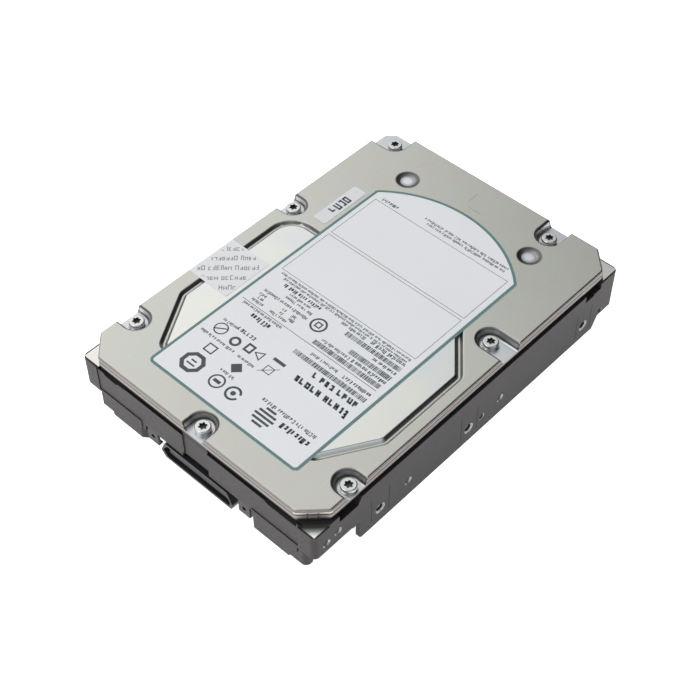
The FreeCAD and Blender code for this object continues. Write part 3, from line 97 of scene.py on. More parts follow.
class Finish:
    """A material built round one Principled shader, with its textures laid out in millimetres."""

    def __init__(self, name, colour, roughness, metallic=0.0, **fixed):
        self.material = bpy.data.materials.new(name)
        self.material.use_nodes = True
        self.tree = self.material.node_tree
        self.shader = self.tree.nodes["Principled BSDF"]
        self.place = self.tree.nodes.new("ShaderNodeTexCoord").outputs
        self.normal = None
        self.set("Base Color", (*colour, 1.0))
        self.set("Roughness", roughness)
        self.set("Metallic", metallic)
        for socket, value in fixed.items():
            self.set(socket.replace("_", " "), value)

    def set(self, socket, value):
        """Gives a socket of the shader a fixed value, or another node's output."""
        target = self.shader.inputs[socket]
        if isinstance(value, bpy.types.NodeSocket):
            self.tree.links.new(value, target)
        else:
            target.default_value = value

    def node(self, kind, *inputs, **settings):
        """A node with its first inputs set or linked. None leaves an input as it is."""
        made = self.tree.nodes.new(kind)
        for key, value in settings.items():
            setattr(made, key, value)
        for socket, value in zip(made.inputs, inputs):
            if isinstance(value, bpy.types.NodeSocket):
                self.tree.links.new(value, socket)
            elif value is not None:
                socket.default_value = value
        return made

    def spread(self, stretch=(1, 1, 1)):
        """The object's coordinates in millimetres. A stretch draws a pattern out along an axis."""
        mapping = self.tree.nodes.new("ShaderNodeMapping")
        mapping.inputs["Scale"].default_value = [1 / (MM * s) for s in stretch]
        self.tree.links.new(self.place["Object"], mapping.inputs["Vector"])
        return mapping.outputs[0]

    def noise(self, size, stretch=(1, 1, 1), detail=3.0, harshness=0.55):
        """Cloudy noise whose features are about size millimetres across."""
        made = self.node("ShaderNodeTexNoise", self.spread(stretch))
        made.inputs["Scale"].default_value = 1 / size
        made.inputs["Detail"].default_value = detail
        made.inputs["Roughness"].default_value = harshness
        return made.outputs["Fac"]

    def cells(self, size):
        """Round cells about size millimetres across."""
        made = self.node("ShaderNodeTexVoronoi", self.spread(), feature="F1")
        made.inputs["Scale"].default_value = 1 / size
        return made.outputs["Distance"]

    def axis(self, name):
        """One coordinate of the surface, in millimetres."""
        return self.node("ShaderNodeSeparateXYZ", self.spread()).outputs[name]

    def facing(self, name):
        """How far the surface faces along an axis, from -1 to 1."""
        return self.node("ShaderNodeSeparateXYZ", self.place["Normal"]).outputs[name]

    def math(self, operation, a, b=None, c=None):
        return self.node("ShaderNodeMath", a, b, c, operation=operation).outputs[0]

    def level(self, value, low, high, to_low=0.0, to_high=1.0):
        """Where value goes from low to high, a number that goes from to_low to to_high."""
        return self.node("ShaderNodeMapRange", value, low, high, to_low, to_high, clamp=True).outputs[0]

    def fall(self, value, low, high):
        """1 where value is under low, 0 where it is over high."""
        return self.level(value, low, high, 1.0, 0.0)

    def inside(self, value, low, high, soft=0.02):
        """1 where value is between low and high."""
        rise = self.level(value, low - soft, low + soft)
        return self.math("MULTIPLY", rise, self.fall(value, high - soft, high + soft))

    def either(self, *masks):
        """1 where any of the masks is."""
        total = masks[0]
        for mask in masks[1:]:
            total = self.math("MAXIMUM", total, mask)
        return total

    def both(self, *masks):
        """1 where all of the masks are."""
        total = masks[0]
        for mask in masks[1:]:
            total = self.math("MULTIPLY", total, mask)
        return total

    def blend(self, factor, a, b):
        """Colour a where factor is 0 and b where it is 1. Each is a colour or another node's output."""
        mix = self.tree.nodes.new("ShaderNodeMix")
        mix.data_type = "RGBA"
        for index, value in ((0, factor), (6, a), (7, b)):
            if isinstance(value, bpy.types.NodeSocket):
                self.tree.links.new(value, mix.inputs[index])
            elif index == 0:
                mix.inputs[index].default_value = value
            else:
                mix.inputs[index].default_value = (*value, 1.0)
        return mix.outputs[2]

    def bands(self, value, stops):
        """A colour that follows value through a list of (value, colour)."""
        low, high = stops[0][0], stops[-1][0]
        made = self.node("ShaderNodeValToRGB", self.level(value, low, high))
        elements = made.color_ramp.elements
        while len(elements) < len(stops):
            elements.new(0.5)
        for element, (at, colour) in zip(elements, stops):
            element.position = (at - low) / (high - low)
            element.color = (*colour, 1.0)
        return made.outputs["Color"]

    def fade(self, factor, a, b):
        """Number a where factor is 0 and b where it is 1."""
        mix = self.tree.nodes.new("ShaderNodeMix")
        for index, value in ((0, factor), (2, a), (3, b)):
            if isinstance(value, bpy.types.NodeSocket):
                self.tree.links.new(value, mix.inputs[index])
            else:
                mix.inputs[index].default_value = value
        return mix.outputs[0]

    def bump(self, height, depth):
        """Raises the surface by up to depth millimetres. Later bumps lie on earlier ones."""
        made = self.tree.nodes.new("ShaderNodeBump")
        made.inputs["Strength"].default_value = 1.0
        made.inputs["Distance"].default_value = depth * MM
        self.tree.links.new(height, made.inputs["Height"])
        if self.normal is not None:
            self.tree.links.new(self.normal, made.inputs["Normal"])
        self.normal = made.outputs[0]
        self.set("Normal", self.normal)


def distance_from(finish, points, plane="YZ"):
    """The distance, in millimetres, from the nearest of some points in a plane of two axes."""
    first = finish.axis(plane[0])
    second = finish.axis(plane[1])
    nearest = None
    for a, b in points:
        da = finish.math("SUBTRACT", first, a)
        db = finish.math("SUBTRACT", second, b)
        square = finish.math("ADD", finish.math("MULTIPLY", da, da), finish.math("MULTIPLY", db, db))
        nearest = square if nearest is None else finish.math("MINIMUM", nearest, square)
    return finish.math("SQRT", nearest)


def inside_outline(finish, corners):
    """How far a point lies inside a convex outline, in millimetres, negative outside it."""
    x, y = finish.axis("X"), finish.axis("Y")
    nearest = None
    for (ax, ay), (bx, by) in zip(corners, corners[1:] + corners[:1]):
        length = math.hypot(bx - ax, by - ay)
        nx, ny = (by - ay) / length, (ax - bx) / length
        offset = finish.math("MULTIPLY_ADD", y, -ny, nx * ax + ny * ay)
        depth = finish.math("MULTIPLY_ADD", x, -nx, offset)
        nearest = depth if nearest is None else finish.math("MINIMUM", nearest, depth)
    return nearest


def corner_measure(finish):
    """|x| + |y| in millimetres, which is constant along the chamfers of the corners."""
    x = finish.math("ABSOLUTE", finish.axis("X"))
    y = finish.math("ABSOLUTE", finish.axis("Y"))
    return finish.math("ADD", x, y)


# The cover's edge from the bottom up: two bonded sheets, the film between them and the rolled rim, whose top
# band is a painted highlight.
SKIRT_BANDS_AND_HIGHLIGHT = [
    (22.25, (0.10, 0.095, 0.09)), (22.45, (0.10, 0.095, 0.09)),
    (22.6, (0.25, 0.235, 0.23)), (23.7, (0.25, 0.235, 0.23)),
    (23.8, (0.10, 0.09, 0.082)), (24.3, (0.10, 0.09, 0.082)),
    (24.4, (0.29, 0.262, 0.24)), (25.1, (0.29, 0.262, 0.24)),
    (25.2, (0.12, 0.10, 0.088)), (25.5, (0.12, 0.10, 0.088)),
    (25.6, (0.40, 0.36, 0.325)), (25.95, (0.42, 0.38, 0.34)),
]

# From a dimple's middle out, painted light and shade: a bright reflection in the cup, its grey flank and a
# dark ring of shade at its rim.
DIMPLE_LIGHT_BANDS = [
    (0.0, (0.66, 0.70, 0.74)), (1.3, (0.62, 0.66, 0.70)), (2.2, (0.36, 0.38, 0.40)),
    (2.9, (0.24, 0.245, 0.25)), (3.6, (0.12, 0.12, 0.12)), (4.1, (0.16, 0.16, 0.155)),
    (4.5, (0.45, 0.45, 0.43)),
]

# Painted shade and light on the sides of the screw pockets, from their floor up.
SCOOP_SHADE_BANDS = [
    (23.15, (0.50, 0.52, 0.54)), (23.5, (0.50, 0.52, 0.54)), (23.75, (0.16, 0.155, 0.15)),
    (24.0, (0.16, 0.155, 0.15)), (24.3, (0.52, 0.52, 0.51)), (25.2, (0.46, 0.455, 0.44)),
    (25.45, (0.13, 0.125, 0.12)), (25.75, (0.13, 0.125, 0.12)), (25.98, (0.42, 0.41, 0.39)),
]

# The sides of the bead, from its floor up: painted shade where they turn from the light.
WALL_SHADE_BANDS = [
    (24.9, (0.30, 0.30, 0.30)), (25.1, (0.20, 0.20, 0.20)), (25.35, (0.10, 0.10, 0.10)),
    (25.7, (0.12, 0.12, 0.12)), (25.85, (0.26, 0.26, 0.25)), (25.98, (0.45, 0.45, 0.44)),
]


def cover_metal():
    """Zinc-plated sheet with a fine lengthwise grain. The field inside the bead is burnished smoother. Its
    pockets, dimples, bead walls and chamfered corners carry painted light and shade.
    """
    f = Finish("cover_metal", (0.4, 0.4, 0.38), 0.4, metallic=1.0, Anisotropic=0.25)
    grain = f.noise(0.16, (1, 26, 1), detail=4.0)
    cloud = f.noise(22.0, detail=2.0)
    speck = f.noise(0.5, detail=2.0)
    x = f.math("ABSOLUTE", f.axis("X"))
    y = f.axis("Y")
    z = f.axis("Z")

    # Where things are: the cover's turned-down edge, the field inside the bead, and the dimples.
    corner = f.level(corner_measure(f), CHAMFER_REACH, CHAMFER_REACH + 0.1)
    edge = f.either(f.level(x, EDGE_X, EDGE_X + 0.05), f.fall(y, EDGE_NEAR_Y, EDGE_NEAR_Y + 0.05),
                    f.level(y, EDGE_FAR_Y, EDGE_FAR_Y + 0.05), corner)
    skirt = f.both(edge, f.fall(f.facing("Z"), 0.6, 0.85))
    depth = inside_outline(f, BEAD_CORNERS)
    field = f.level(depth, BEAD_WIDTH - 0.5, BEAD_WIDTH - 0.3)
    around = f.level(depth, -0.6, -0.4)
    from_dimple = distance_from(f, DIMPLES, "XY")
    dimple_light = f.fall(from_dimple, DIMPLE_REACH, DIMPLE_REACH + 0.1)
    sloping = f.fall(f.facing("Z"), 0.93, 0.97)

    # The bead's inner and outer wall get painted shade on the sides that turn from the light.
    inner = f.math("MULTIPLY_ADD", f.facing("X"), 0.77, f.math("MULTIPLY", f.facing("Y"), 0.64))
    outer = f.math("MAXIMUM", f.facing("X"), f.math("MULTIPLY", f.facing("Y"), -1.0))
    turned = f.fade(f.level(depth, BEAD_WIDTH / 2 - 0.1, BEAD_WIDTH / 2 + 0.1), outer, inner)
    wall_shade = f.both(sloping, around, f.level(turned, 0.25, 0.62), f.math("SUBTRACT", 1.0, skirt))

    # The sheet itself, and then each region over it.
    tint = f.noise(11.0, detail=2.0)
    brushed = f.blend(cloud, (0.443, 0.446, 0.42), (0.49, 0.493, 0.466))
    brushed = f.blend(f.level(tint, 0.45, 0.7), brushed, (0.445, 0.475, 0.465))
    brushed = f.blend(f.level(grain, 0.35, 0.7), brushed, (0.52, 0.52, 0.49))
    burnished = f.blend(f.level(cloud, 0.35, 0.65), (0.51, 0.53, 0.56), (0.57, 0.58, 0.555))
    colour = f.blend(field, brushed, burnished)
    # The low floors of the pockets and dimples get a painted bluish reflection of the sky.
    pocket_reflection = f.both(f.fall(z, COVER_HIGH.z - 0.6, COVER_HIGH.z - 0.4), f.fall(around, 0.0, 1.0))
    colour = f.blend(pocket_reflection, colour, f.blend(cloud, (0.50, 0.53, 0.56), (0.60, 0.63, 0.66)))
    elsewhere = f.fall(f.either(around, dimple_light), 0.0, 1.0)
    # The sloping sides of the screw pockets get painted bands of shade and light.
    scoop_shade = f.both(sloping, elsewhere, f.level(z, SCOOP_FOOT, SCOOP_FOOT + 0.1))
    colour = f.blend(scoop_shade, colour, f.bands(z, SCOOP_SHADE_BANDS))
    # The dimples get painted reflection and shade by distance from their middle.
    colour = f.blend(dimple_light, colour, f.bands(from_dimple, DIMPLE_LIGHT_BANDS))
    colour = f.blend(wall_shade, colour, f.bands(z, WALL_SHADE_BANDS))
    # The chamfered corners get a painted highlight across the middle of the edge.
    chamfer_highlight = f.both(corner, f.level(z, 24.4, 24.6), f.fall(z, 25.1, 25.3))
    edging = f.blend(chamfer_highlight, f.bands(z, SKIRT_BANDS_AND_HIGHLIGHT), (0.52, 0.49, 0.44))
    f.set("Base Color", f.blend(skirt, colour, edging))
    rough = f.level(grain, 0.3, 0.7, 0.36, 0.46)
    f.set("Roughness", f.fade(field, rough, f.level(cloud, 0.3, 0.7, 0.24, 0.3)))
    f.bump(grain, 0.004)
    f.bump(speck, 0.003)
    return f


def black_casting():
    """Die-cast aluminium under a black coat, bare where it was machined after coating."""
    f = Finish("black_casting", (0.045, 0.042, 0.04), 0.5, Specular_IOR_Level=0.28)
    skin = f.noise(0.45, detail=4.0)
    flow = f.noise(14.0, detail=3.0)
    x = f.math("ABSOLUTE", f.axis("X"))
    y = f.math("ABSOLUTE", f.axis("Y"))
    z = f.axis("Z")
    up = f.level(f.facing("Z"), 0.9, 0.98)
    down = f.fall(f.facing("Z"), -0.98, -0.9)

    # The bare corners, rails and hole mouths, and the places under the cover painted near-black as shade.
    within = f.both(f.fall(x, HALF_WIDTH - 0.65, HALF_WIDTH - 0.55),
                    f.fall(y, HALF_LENGTH - 0.65, HALF_LENGTH - 0.55))
    near_corner = f.both(f.level(f.axis("X"), -0.1, 0.1), f.fall(f.axis("Y"), -0.1, 0.1))
    high = f.both(f.inside(z, WALL_TOP - 0.1, WALL_TOP + 0.1), f.math("SUBTRACT", 1.0, near_corner))
    low = f.inside(z, NEAR_CORNER_TOP - 0.1, NEAR_CORNER_TOP + 0.1)
    reach = corner_measure(f)
    high = f.both(high, f.level(reach, CORNER_REACH, CORNER_REACH + 0.1))
    shade = f.both(up, low, near_corner, f.fall(reach, NEAR_CORNER_REACH, NEAR_CORNER_REACH + 0.1))
    low = f.both(low, f.level(reach, NEAR_CORNER_REACH, NEAR_CORNER_REACH + 0.1))
    ears = f.both(up, within, f.either(high, low))
    rails = f.both(down, f.inside(z, -0.05, 0.05))
    hole = f.inside(distance_from(f, SIDE_HOLES), 1.38, 2.14)
    mark = f.inside(distance_from(f, TOOL_MARKS), 1.05, 1.66)
    mouths = f.both(f.inside(x, HALF_WIDTH - 0.55, HALF_WIDTH - 0.02, 0.01), f.either(hole, mark))
    bare = f.either(ears, rails, f.math("MULTIPLY", mouths, 0.75))
    # The ledge at the connector end is painted near-black as shade.
    ledge_shade = f.both(f.level(z, END_LEDGE_TOP, END_LEDGE_TOP + 0.1),
                   f.fall(f.axis("Y"), -72.4, -72.2), f.fall(x, 45.9, 46.1))

    coat = f.blend(flow, (0.022, 0.018, 0.0172), (0.036, 0.030, 0.029))
    coat = f.blend(f.either(ledge_shade, shade), coat, (0.006, 0.006, 0.006))
    swirl = f.noise(0.3, (1, 12, 1), detail=2.0)
    metal = f.blend(swirl, (0.50, 0.49, 0.48), (0.66, 0.64, 0.62))
    # The low near corner is painted as a highlight: darker next to the cover, brighter out towards its tip.
    bright = f.blend(f.level(reach, 118.0, 120.5), (0.55, 0.55, 0.54), (0.84, 0.88, 0.88))
    speckled = f.blend(f.level(skin, 0.35, 0.6), (0.24, 0.235, 0.23), (0.60, 0.59, 0.58))
    metal = f.blend(mouths, f.blend(low, metal, bright), speckled)
    f.set("Base Color", f.blend(bare, coat, metal))
    f.set("Metallic", bare)
    f.set("Roughness", f.fade(bare, f.level(skin, 0.3, 0.7, 0.42, 0.56), 0.3))
    f.bump(f.math("MULTIPLY", skin, f.level(bare, 0.0, 1.0, 1.0, 0.05)), 0.05)
    f.bump(flow, 0.06)
    return f


def screw_steel():
    """Zinc-plated screws. The driver recess of the cover's screws is painted dark as shade."""
    f = Finish("screw_steel", (0.5, 0.5, 0.5), 0.24, metallic=1.0)
    cloud = f.noise(2.2)
    turned = f.noise(0.1, (1, 1, 9), detail=2.0)
    # The driver recess of the cover's screws is painted dark as shade.
    socket = f.both(f.inside(f.axis("Z"), SCREW_FLOOR - 0.1, SCREW_TOP - 0.08),
                    f.fall(distance_from(f, COVER_SCREWS, "XY"), 1.5, 1.55))
    plate = f.blend(cloud, (0.44, 0.45, 0.45), (0.56, 0.57, 0.565))
    f.set("Base Color", f.blend(socket, plate, (0.14, 0.145, 0.15)))
    f.set("Roughness", f.fade(socket, f.level(cloud, 0.3, 0.7, 0.18, 0.3), 0.6))
    f.bump(turned, 0.003)
    return f


def plated(name, low, high, roughness, grain=0.1):
    """Bright plated or ground metal: small turning marks and a little uneven shine."""
    f = Finish(name, high, roughness, metallic=1.0)
    cloud = f.noise(2.2)
    marks = f.noise(grain, (1, 1, 9), detail=2.0)
    f.set("Base Color", f.blend(cloud, low, high))
    f.set("Roughness", f.level(cloud, 0.3, 0.7, roughness - 0.05, roughness + 0.07))
    f.bump(marks, 0.003)
    return f


def moulded(name, low, high, roughness, grain=0.25, depth=0.012, **fixed):
    """Plastic, rubber or ceramic with a fine moulded skin."""
    f = Finish(name, high, roughness, **fixed)
    cloud = f.noise(4.0)
    skin = f.noise(grain, detail=4.0)
    f.set("Base Color", f.blend(cloud, low, high))
    f.set("Roughness", f.level(skin, 0.3, 0.7, roughness - 0.06, roughness + 0.08))
    f.bump(skin, depth)
    return f


def label_face():
    """Satin printed film. The cover's drawn rings show through faintly where it lies over the disc bay."""
    f = Finish("label_face", (0.70, 0.71, 0.75), 0.38, Coat_Weight=0.15, Coat_Roughness=0.3)
    cloud = f.noise(30.0, detail=2.0)
    fibre = f.noise(0.7, detail=3.0)
    x = f.math("SUBTRACT", f.axis("X"), SPINDLE[0])
    y = f.math("SUBTRACT", f.axis("Y"), SPINDLE[1])
    radius = f.math("SQRT", f.math("ADD", f.math("MULTIPLY", x, x), f.math("MULTIPLY", y, y)))
    ring = f.inside(radius, 27.0, 30.5, 1.2)
    f.set("Base Color", f.blend(cloud, (0.82, 0.825, 0.855), (0.86, 0.865, 0.895)))
    f.set("Roughness", f.level(fibre, 0.3, 0.7, 0.34, 0.42))
    f.bump(fibre, 0.004)
    f.bump(ring, 0.02)
    f.bump(cloud, 0.25)
    return f


def film(name, low, high, roughness, crease=0.05):
    """Paper or film stuck down by hand, with a little unevenness."""
    f = Finish(name, high, roughness)
    cloud = f.noise(9.0, detail=2.0)
    fibre = f.noise(0.5, detail=4.0)
    f.set("Base Color", f.blend(cloud, low, high))
    f.set("Roughness", f.level(fibre, 0.3, 0.7, roughness - 0.05, roughness + 0.05))
    f.bump(fibre, 0.004)
    f.bump(cloud, crease)
    return f


def printed(name, low, high):
    """Ink: even from afar, a little mottled close to."""
    f = Finish(name, high, 0.45)
    mottle = f.noise(0.35, detail=3.0)
    f.set("Base Color", f.blend(mottle, low, high))
    f.set("Roughness", f.level(mottle, 0.3, 0.7, 0.4, 0.52))
    f.bump(mottle, 0.002)
    return f


def disc_mirror():
    """A polished disc: a near-perfect mirror with the finest circular texture."""
    f = Finish("disc_mirror", (0.86, 0.87, 0.88), 0.06, metallic=1.0)
    cloud = f.noise(18.0)
    f.set("Base Color", f.blend(cloud, (0.82, 0.83, 0.85), (0.88, 0.885, 0.89)))
    f.set("Roughness", f.level(cloud, 0.3, 0.7, 0.04, 0.08))
    f.bump(f.noise(0.4), 0.0005)
    return f


def wound(name, low, high, pitch):
    """Enamelled wire laid in turns pitch millimetres apart."""
    f = Finish(name, high, 0.3, metallic=1.0, Coat_Weight=0.5)
    turns = f.node("ShaderNodeTexWave", f.spread(), bands_direction="Z")
    turns.inputs["Scale"].default_value = 0.31 / pitch
    turns.inputs["Distortion"].default_value = 0.4
    f.set("Base Color", f.blend(turns.outputs["Fac"], low, high))
    f.set("Roughness", f.level(f.noise(1.5), 0.3, 0.7, 0.24, 0.36))
    f.bump(turns.outputs["Fac"], 0.05)
    return f


def laminated():
    """Stacked sheets of silicon steel seen edge on."""
    f = Finish("lamination", (0.3, 0.31, 0.34), 0.45, metallic=1.0)
    sheets = f.node("ShaderNodeTexWave", f.spread(), bands_direction="Z")
    sheets.inputs["Scale"].default_value = 0.9
    f.set("Base Color", f.blend(sheets.outputs["Fac"], (0.16, 0.17, 0.2), (0.34, 0.35, 0.38)))
    f.set("Roughness", f.level(f.noise(1.2), 0.3, 0.7, 0.38, 0.52))
    f.bump(sheets.outputs["Fac"], 0.04)
    return f


def felt(name, low, high, fibre):
    """Felt or foam: tangled fibres or open cells with a soft sheen."""
    f = Finish(name, high, 0.9, Sheen_Weight=0.4, Sheen_Roughness=0.5)
    tangle = f.noise(fibre, detail=6.0, harshness=0.7)
    pores = f.cells(fibre * 1.6)
    f.set("Base Color", f.blend(tangle, low, high))
    f.set("Roughness", f.level(tangle, 0.3, 0.7, 0.82, 0.95))
    f.bump(tangle, 0.12)
    f.bump(pores, 0.08)
    return f


def board_green():
    """Solder mask over glass cloth: the weave shows faintly through a glossy lacquer."""
    f = Finish("board_green", (0.015, 0.12, 0.06), 0.3, Coat_Weight=0.5, Coat_Roughness=0.12)
    cloud = f.noise(7.0)
    warp = f.node("ShaderNodeTexWave", f.spread(), bands_direction="X")
    weft = f.node("ShaderNodeTexWave", f.spread(), bands_direction="Y")
    for thread in (warp, weft):
        thread.inputs["Scale"].default_value = 0.6
        thread.inputs["Distortion"].default_value = 0.6
    weave = f.math("MULTIPLY", warp.outputs["Fac"], weft.outputs["Fac"])
    f.set("Base Color", f.blend(f.both(cloud, weave), (0.009, 0.085, 0.042), (0.02, 0.15, 0.075)))
    f.set("Roughness", f.level(cloud, 0.3, 0.7, 0.26, 0.36))
    f.bump(weave, 0.012)
    return f


def rubber(name, low, high):
    """Dull black or grey rubber."""
    return moulded(name, low, high, 0.68, grain=0.3, depth=0.02)


def make_finishes():
    """One finish for each material slot of the record, and the inks."""
    return {
        "cover_metal": cover_metal(),
        "black_casting": black_casting(),
        "screw_steel": screw_steel(),
        "stainless": plated("stainless", (0.6, 0.6, 0.6), (0.72, 0.72, 0.72), 0.28),
        "bearing_steel": plated("bearing_steel", (0.58, 0.59, 0.6), (0.7, 0.71, 0.72), 0.14),
        "bare_aluminium": plated("bare_aluminium", (0.7, 0.7, 0.72), (0.82, 0.82, 0.84), 0.3, grain=0.2),
        "magnet_nickel": plated("magnet_nickel", (0.56, 0.54, 0.5), (0.66, 0.64, 0.6), 0.2),
        "yoke_nickel": plated("yoke_nickel", (0.58, 0.57, 0.52), (0.7, 0.69, 0.64), 0.3),
        "solder_tin": plated("solder_tin", (0.6, 0.6, 0.61), (0.76, 0.76, 0.77), 0.26),
        "gold_contact": plated("gold_contact", (0.78, 0.56, 0.2), (0.92, 0.72, 0.34), 0.2),
        "gasket_rubber": rubber("gasket_rubber", (0.008, 0.008, 0.008), (0.018, 0.018, 0.018)),
        "rubber_bumper": rubber("rubber_bumper", (0.03, 0.03, 0.03), (0.055, 0.055, 0.055)),
        "black_plastic": moulded("black_plastic", (0.010, 0.010, 0.012), (0.020, 0.020, 0.024), 0.4,
                                 Specular_IOR_Level=0.35),
        "grey_plastic": moulded("grey_plastic", (0.2, 0.2, 0.195), (0.3, 0.3, 0.29), 0.5),
        "chip_black": moulded("chip_black", (0.018, 0.018, 0.019), (0.034, 0.034, 0.036), 0.55, grain=0.12),
        "ceramic_tan": moulded("ceramic_tan", (0.26, 0.19, 0.12), (0.44, 0.33, 0.22), 0.42, grain=0.2),
        "flex_film": moulded("flex_film", (0.36, 0.16, 0.03), (0.55, 0.28, 0.06), 0.25, Coat_Weight=0.4),
        "label_face": label_face(),
        "tamper_film": film("tamper_film", (0.80, 0.81, 0.83), (0.86, 0.87, 0.885), 0.42),
        "sticker_paper": film("sticker_paper", (0.76, 0.77, 0.79), (0.82, 0.83, 0.84), 0.5, crease=0.03),
        "filter_felt": felt("filter_felt", (0.72, 0.72, 0.7), (0.88, 0.88, 0.86), 0.35),
        "foam_grey": felt("foam_grey", (0.1, 0.1, 0.105), (0.2, 0.2, 0.21), 0.5),
        "disc_mirror": disc_mirror(),
        "copper_wire": wound("copper_wire", (0.5, 0.2, 0.08), (0.8, 0.42, 0.22), 0.2),
        "lamination": laminated(),
        "board_green": board_green(),
        "slate_ink": printed("slate_ink", (0.035, 0.05, 0.065), (0.055, 0.075, 0.095)),
        "grey_ink": printed("grey_ink", (0.27, 0.27, 0.29), (0.34, 0.34, 0.36)),
        "teal_ink": printed("teal_ink", (0.085, 0.2, 0.195), (0.12, 0.25, 0.24)),
        "white_ink": printed("white_ink", (0.7, 0.72, 0.7), (0.82, 0.84, 0.82)),
    }


# ---------------------------------------------------------------- mesh work


class Mesh:
    """Collects closed solids in millimetres and makes one object of them."""

    def __init__(self):
        self.bm = bmesh.new()

    def prism(self, outline, z0, z1):
        """A flat-topped solid on a convex or simple outline."""
        low = [self.bm.verts.new((x, y, z0)) for x, y in outline]
        high = [self.bm.verts.new((x, y, z1)) for x, y in outline]
        self.bm.faces.new(low[::-1])
        self.bm.faces.new(high)
        for i in range(len(low)):
            j = (i + 1) % len(low)
            self.bm.faces.new((low[i], low[j], high[j], high[i]))

    def band(self, outer, inner, z0, z1):
        """A closed band between two outlines with as many points each."""
        rows = []
        for outline, z in ((outer, z0), (outer, z1), (inner, z1), (inner, z0)):
            rows.append([self.bm.verts.new((x, y, z)) for x, y in outline])
        for a, b in zip(rows, rows[1:] + rows[:1]):
            for i in range(len(a)):
                j = (i + 1) % len(a)
                self.bm.faces.new((a[i], a[j], b[j], b[i]))

    def sweep(self, sections):
        """A skin over sections of as many points each, capped at both ends."""
        rows = [[self.bm.verts.new(p) for p in section] for section in sections]
        self.bm.faces.new(rows[0][::-1])
        self.bm.faces.new(rows[-1])
        for a, b in zip(rows, rows[1:]):
            for i in range(len(a)):
                j = (i + 1) % len(a)
                self.bm.faces.new((a[i], a[j], b[j], b[i]))

    def finish(self, name, finish, slot, move=None):
        """Makes the object and puts it on the chassis. The slot argument is not used."""
        bmesh.ops.recalc_face_normals(self.bm, faces=self.bm.faces)
        data = bpy.data.meshes.new(name)
        self.bm.to_mesh(data)
        self.bm.free()
        if move is not None:
            data.transform(move)
        data.transform(Matrix.Scale(MM, 4))
        data.materials.append(finish.material)
        piece = bpy.data.objects.new(name, data)
        bpy.context.scene.collection.objects.link(piece)
        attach(piece, "chassis")


def rectangle(x0, x1, y0, y1):
    return [(x0, y0), (x1, y0), (x1, y1), (x0, y1)]


def arc(cx, cy, radius, a0, a1, steps):
    """Points on an arc from a0 to a1 degrees, both ends included."""
    points = []
    for i in range(steps + 1):
        a = math.radians(a0 + (a1 - a0) * i / steps)
        points.append((cx + radius * math.cos(a), cy + radius * math.sin(a)))
    return points


def circle(cx, cy, radius, sides, turn=0.0):
    """The corners of a closed ring, the first at turn degrees."""
    return arc(cx, cy, radius, turn, turn + 360, sides)[:-1]


def bar_outline(ax, ay, bx, by, width, past_ends=False):
    """A straight bar of a width between two points, or half the width longer at each end."""
    a, b = Vector((ax, ay)), Vector((bx, by))
    along = (b - a).normalized() * width / 2
    side = Vector((-along.y, along.x))
    if past_ends:
        a, b = a - along, b + along
    return [tuple(a - side), tuple(b - side), tuple(b + side), tuple(a + side)]


# What a stand-in letter is made of: which stems it has, and how far up its level strokes are.
GLYPHS = (("both", (0.0,)), ("both", (0.0, 1.0)), ("both", (0.5,)), ("first", (0.0, 1.0)),
          ("first", (0.0, 0.5, 1.0)), ("last", (0.5, 1.0)), ("last", (0.0,)))


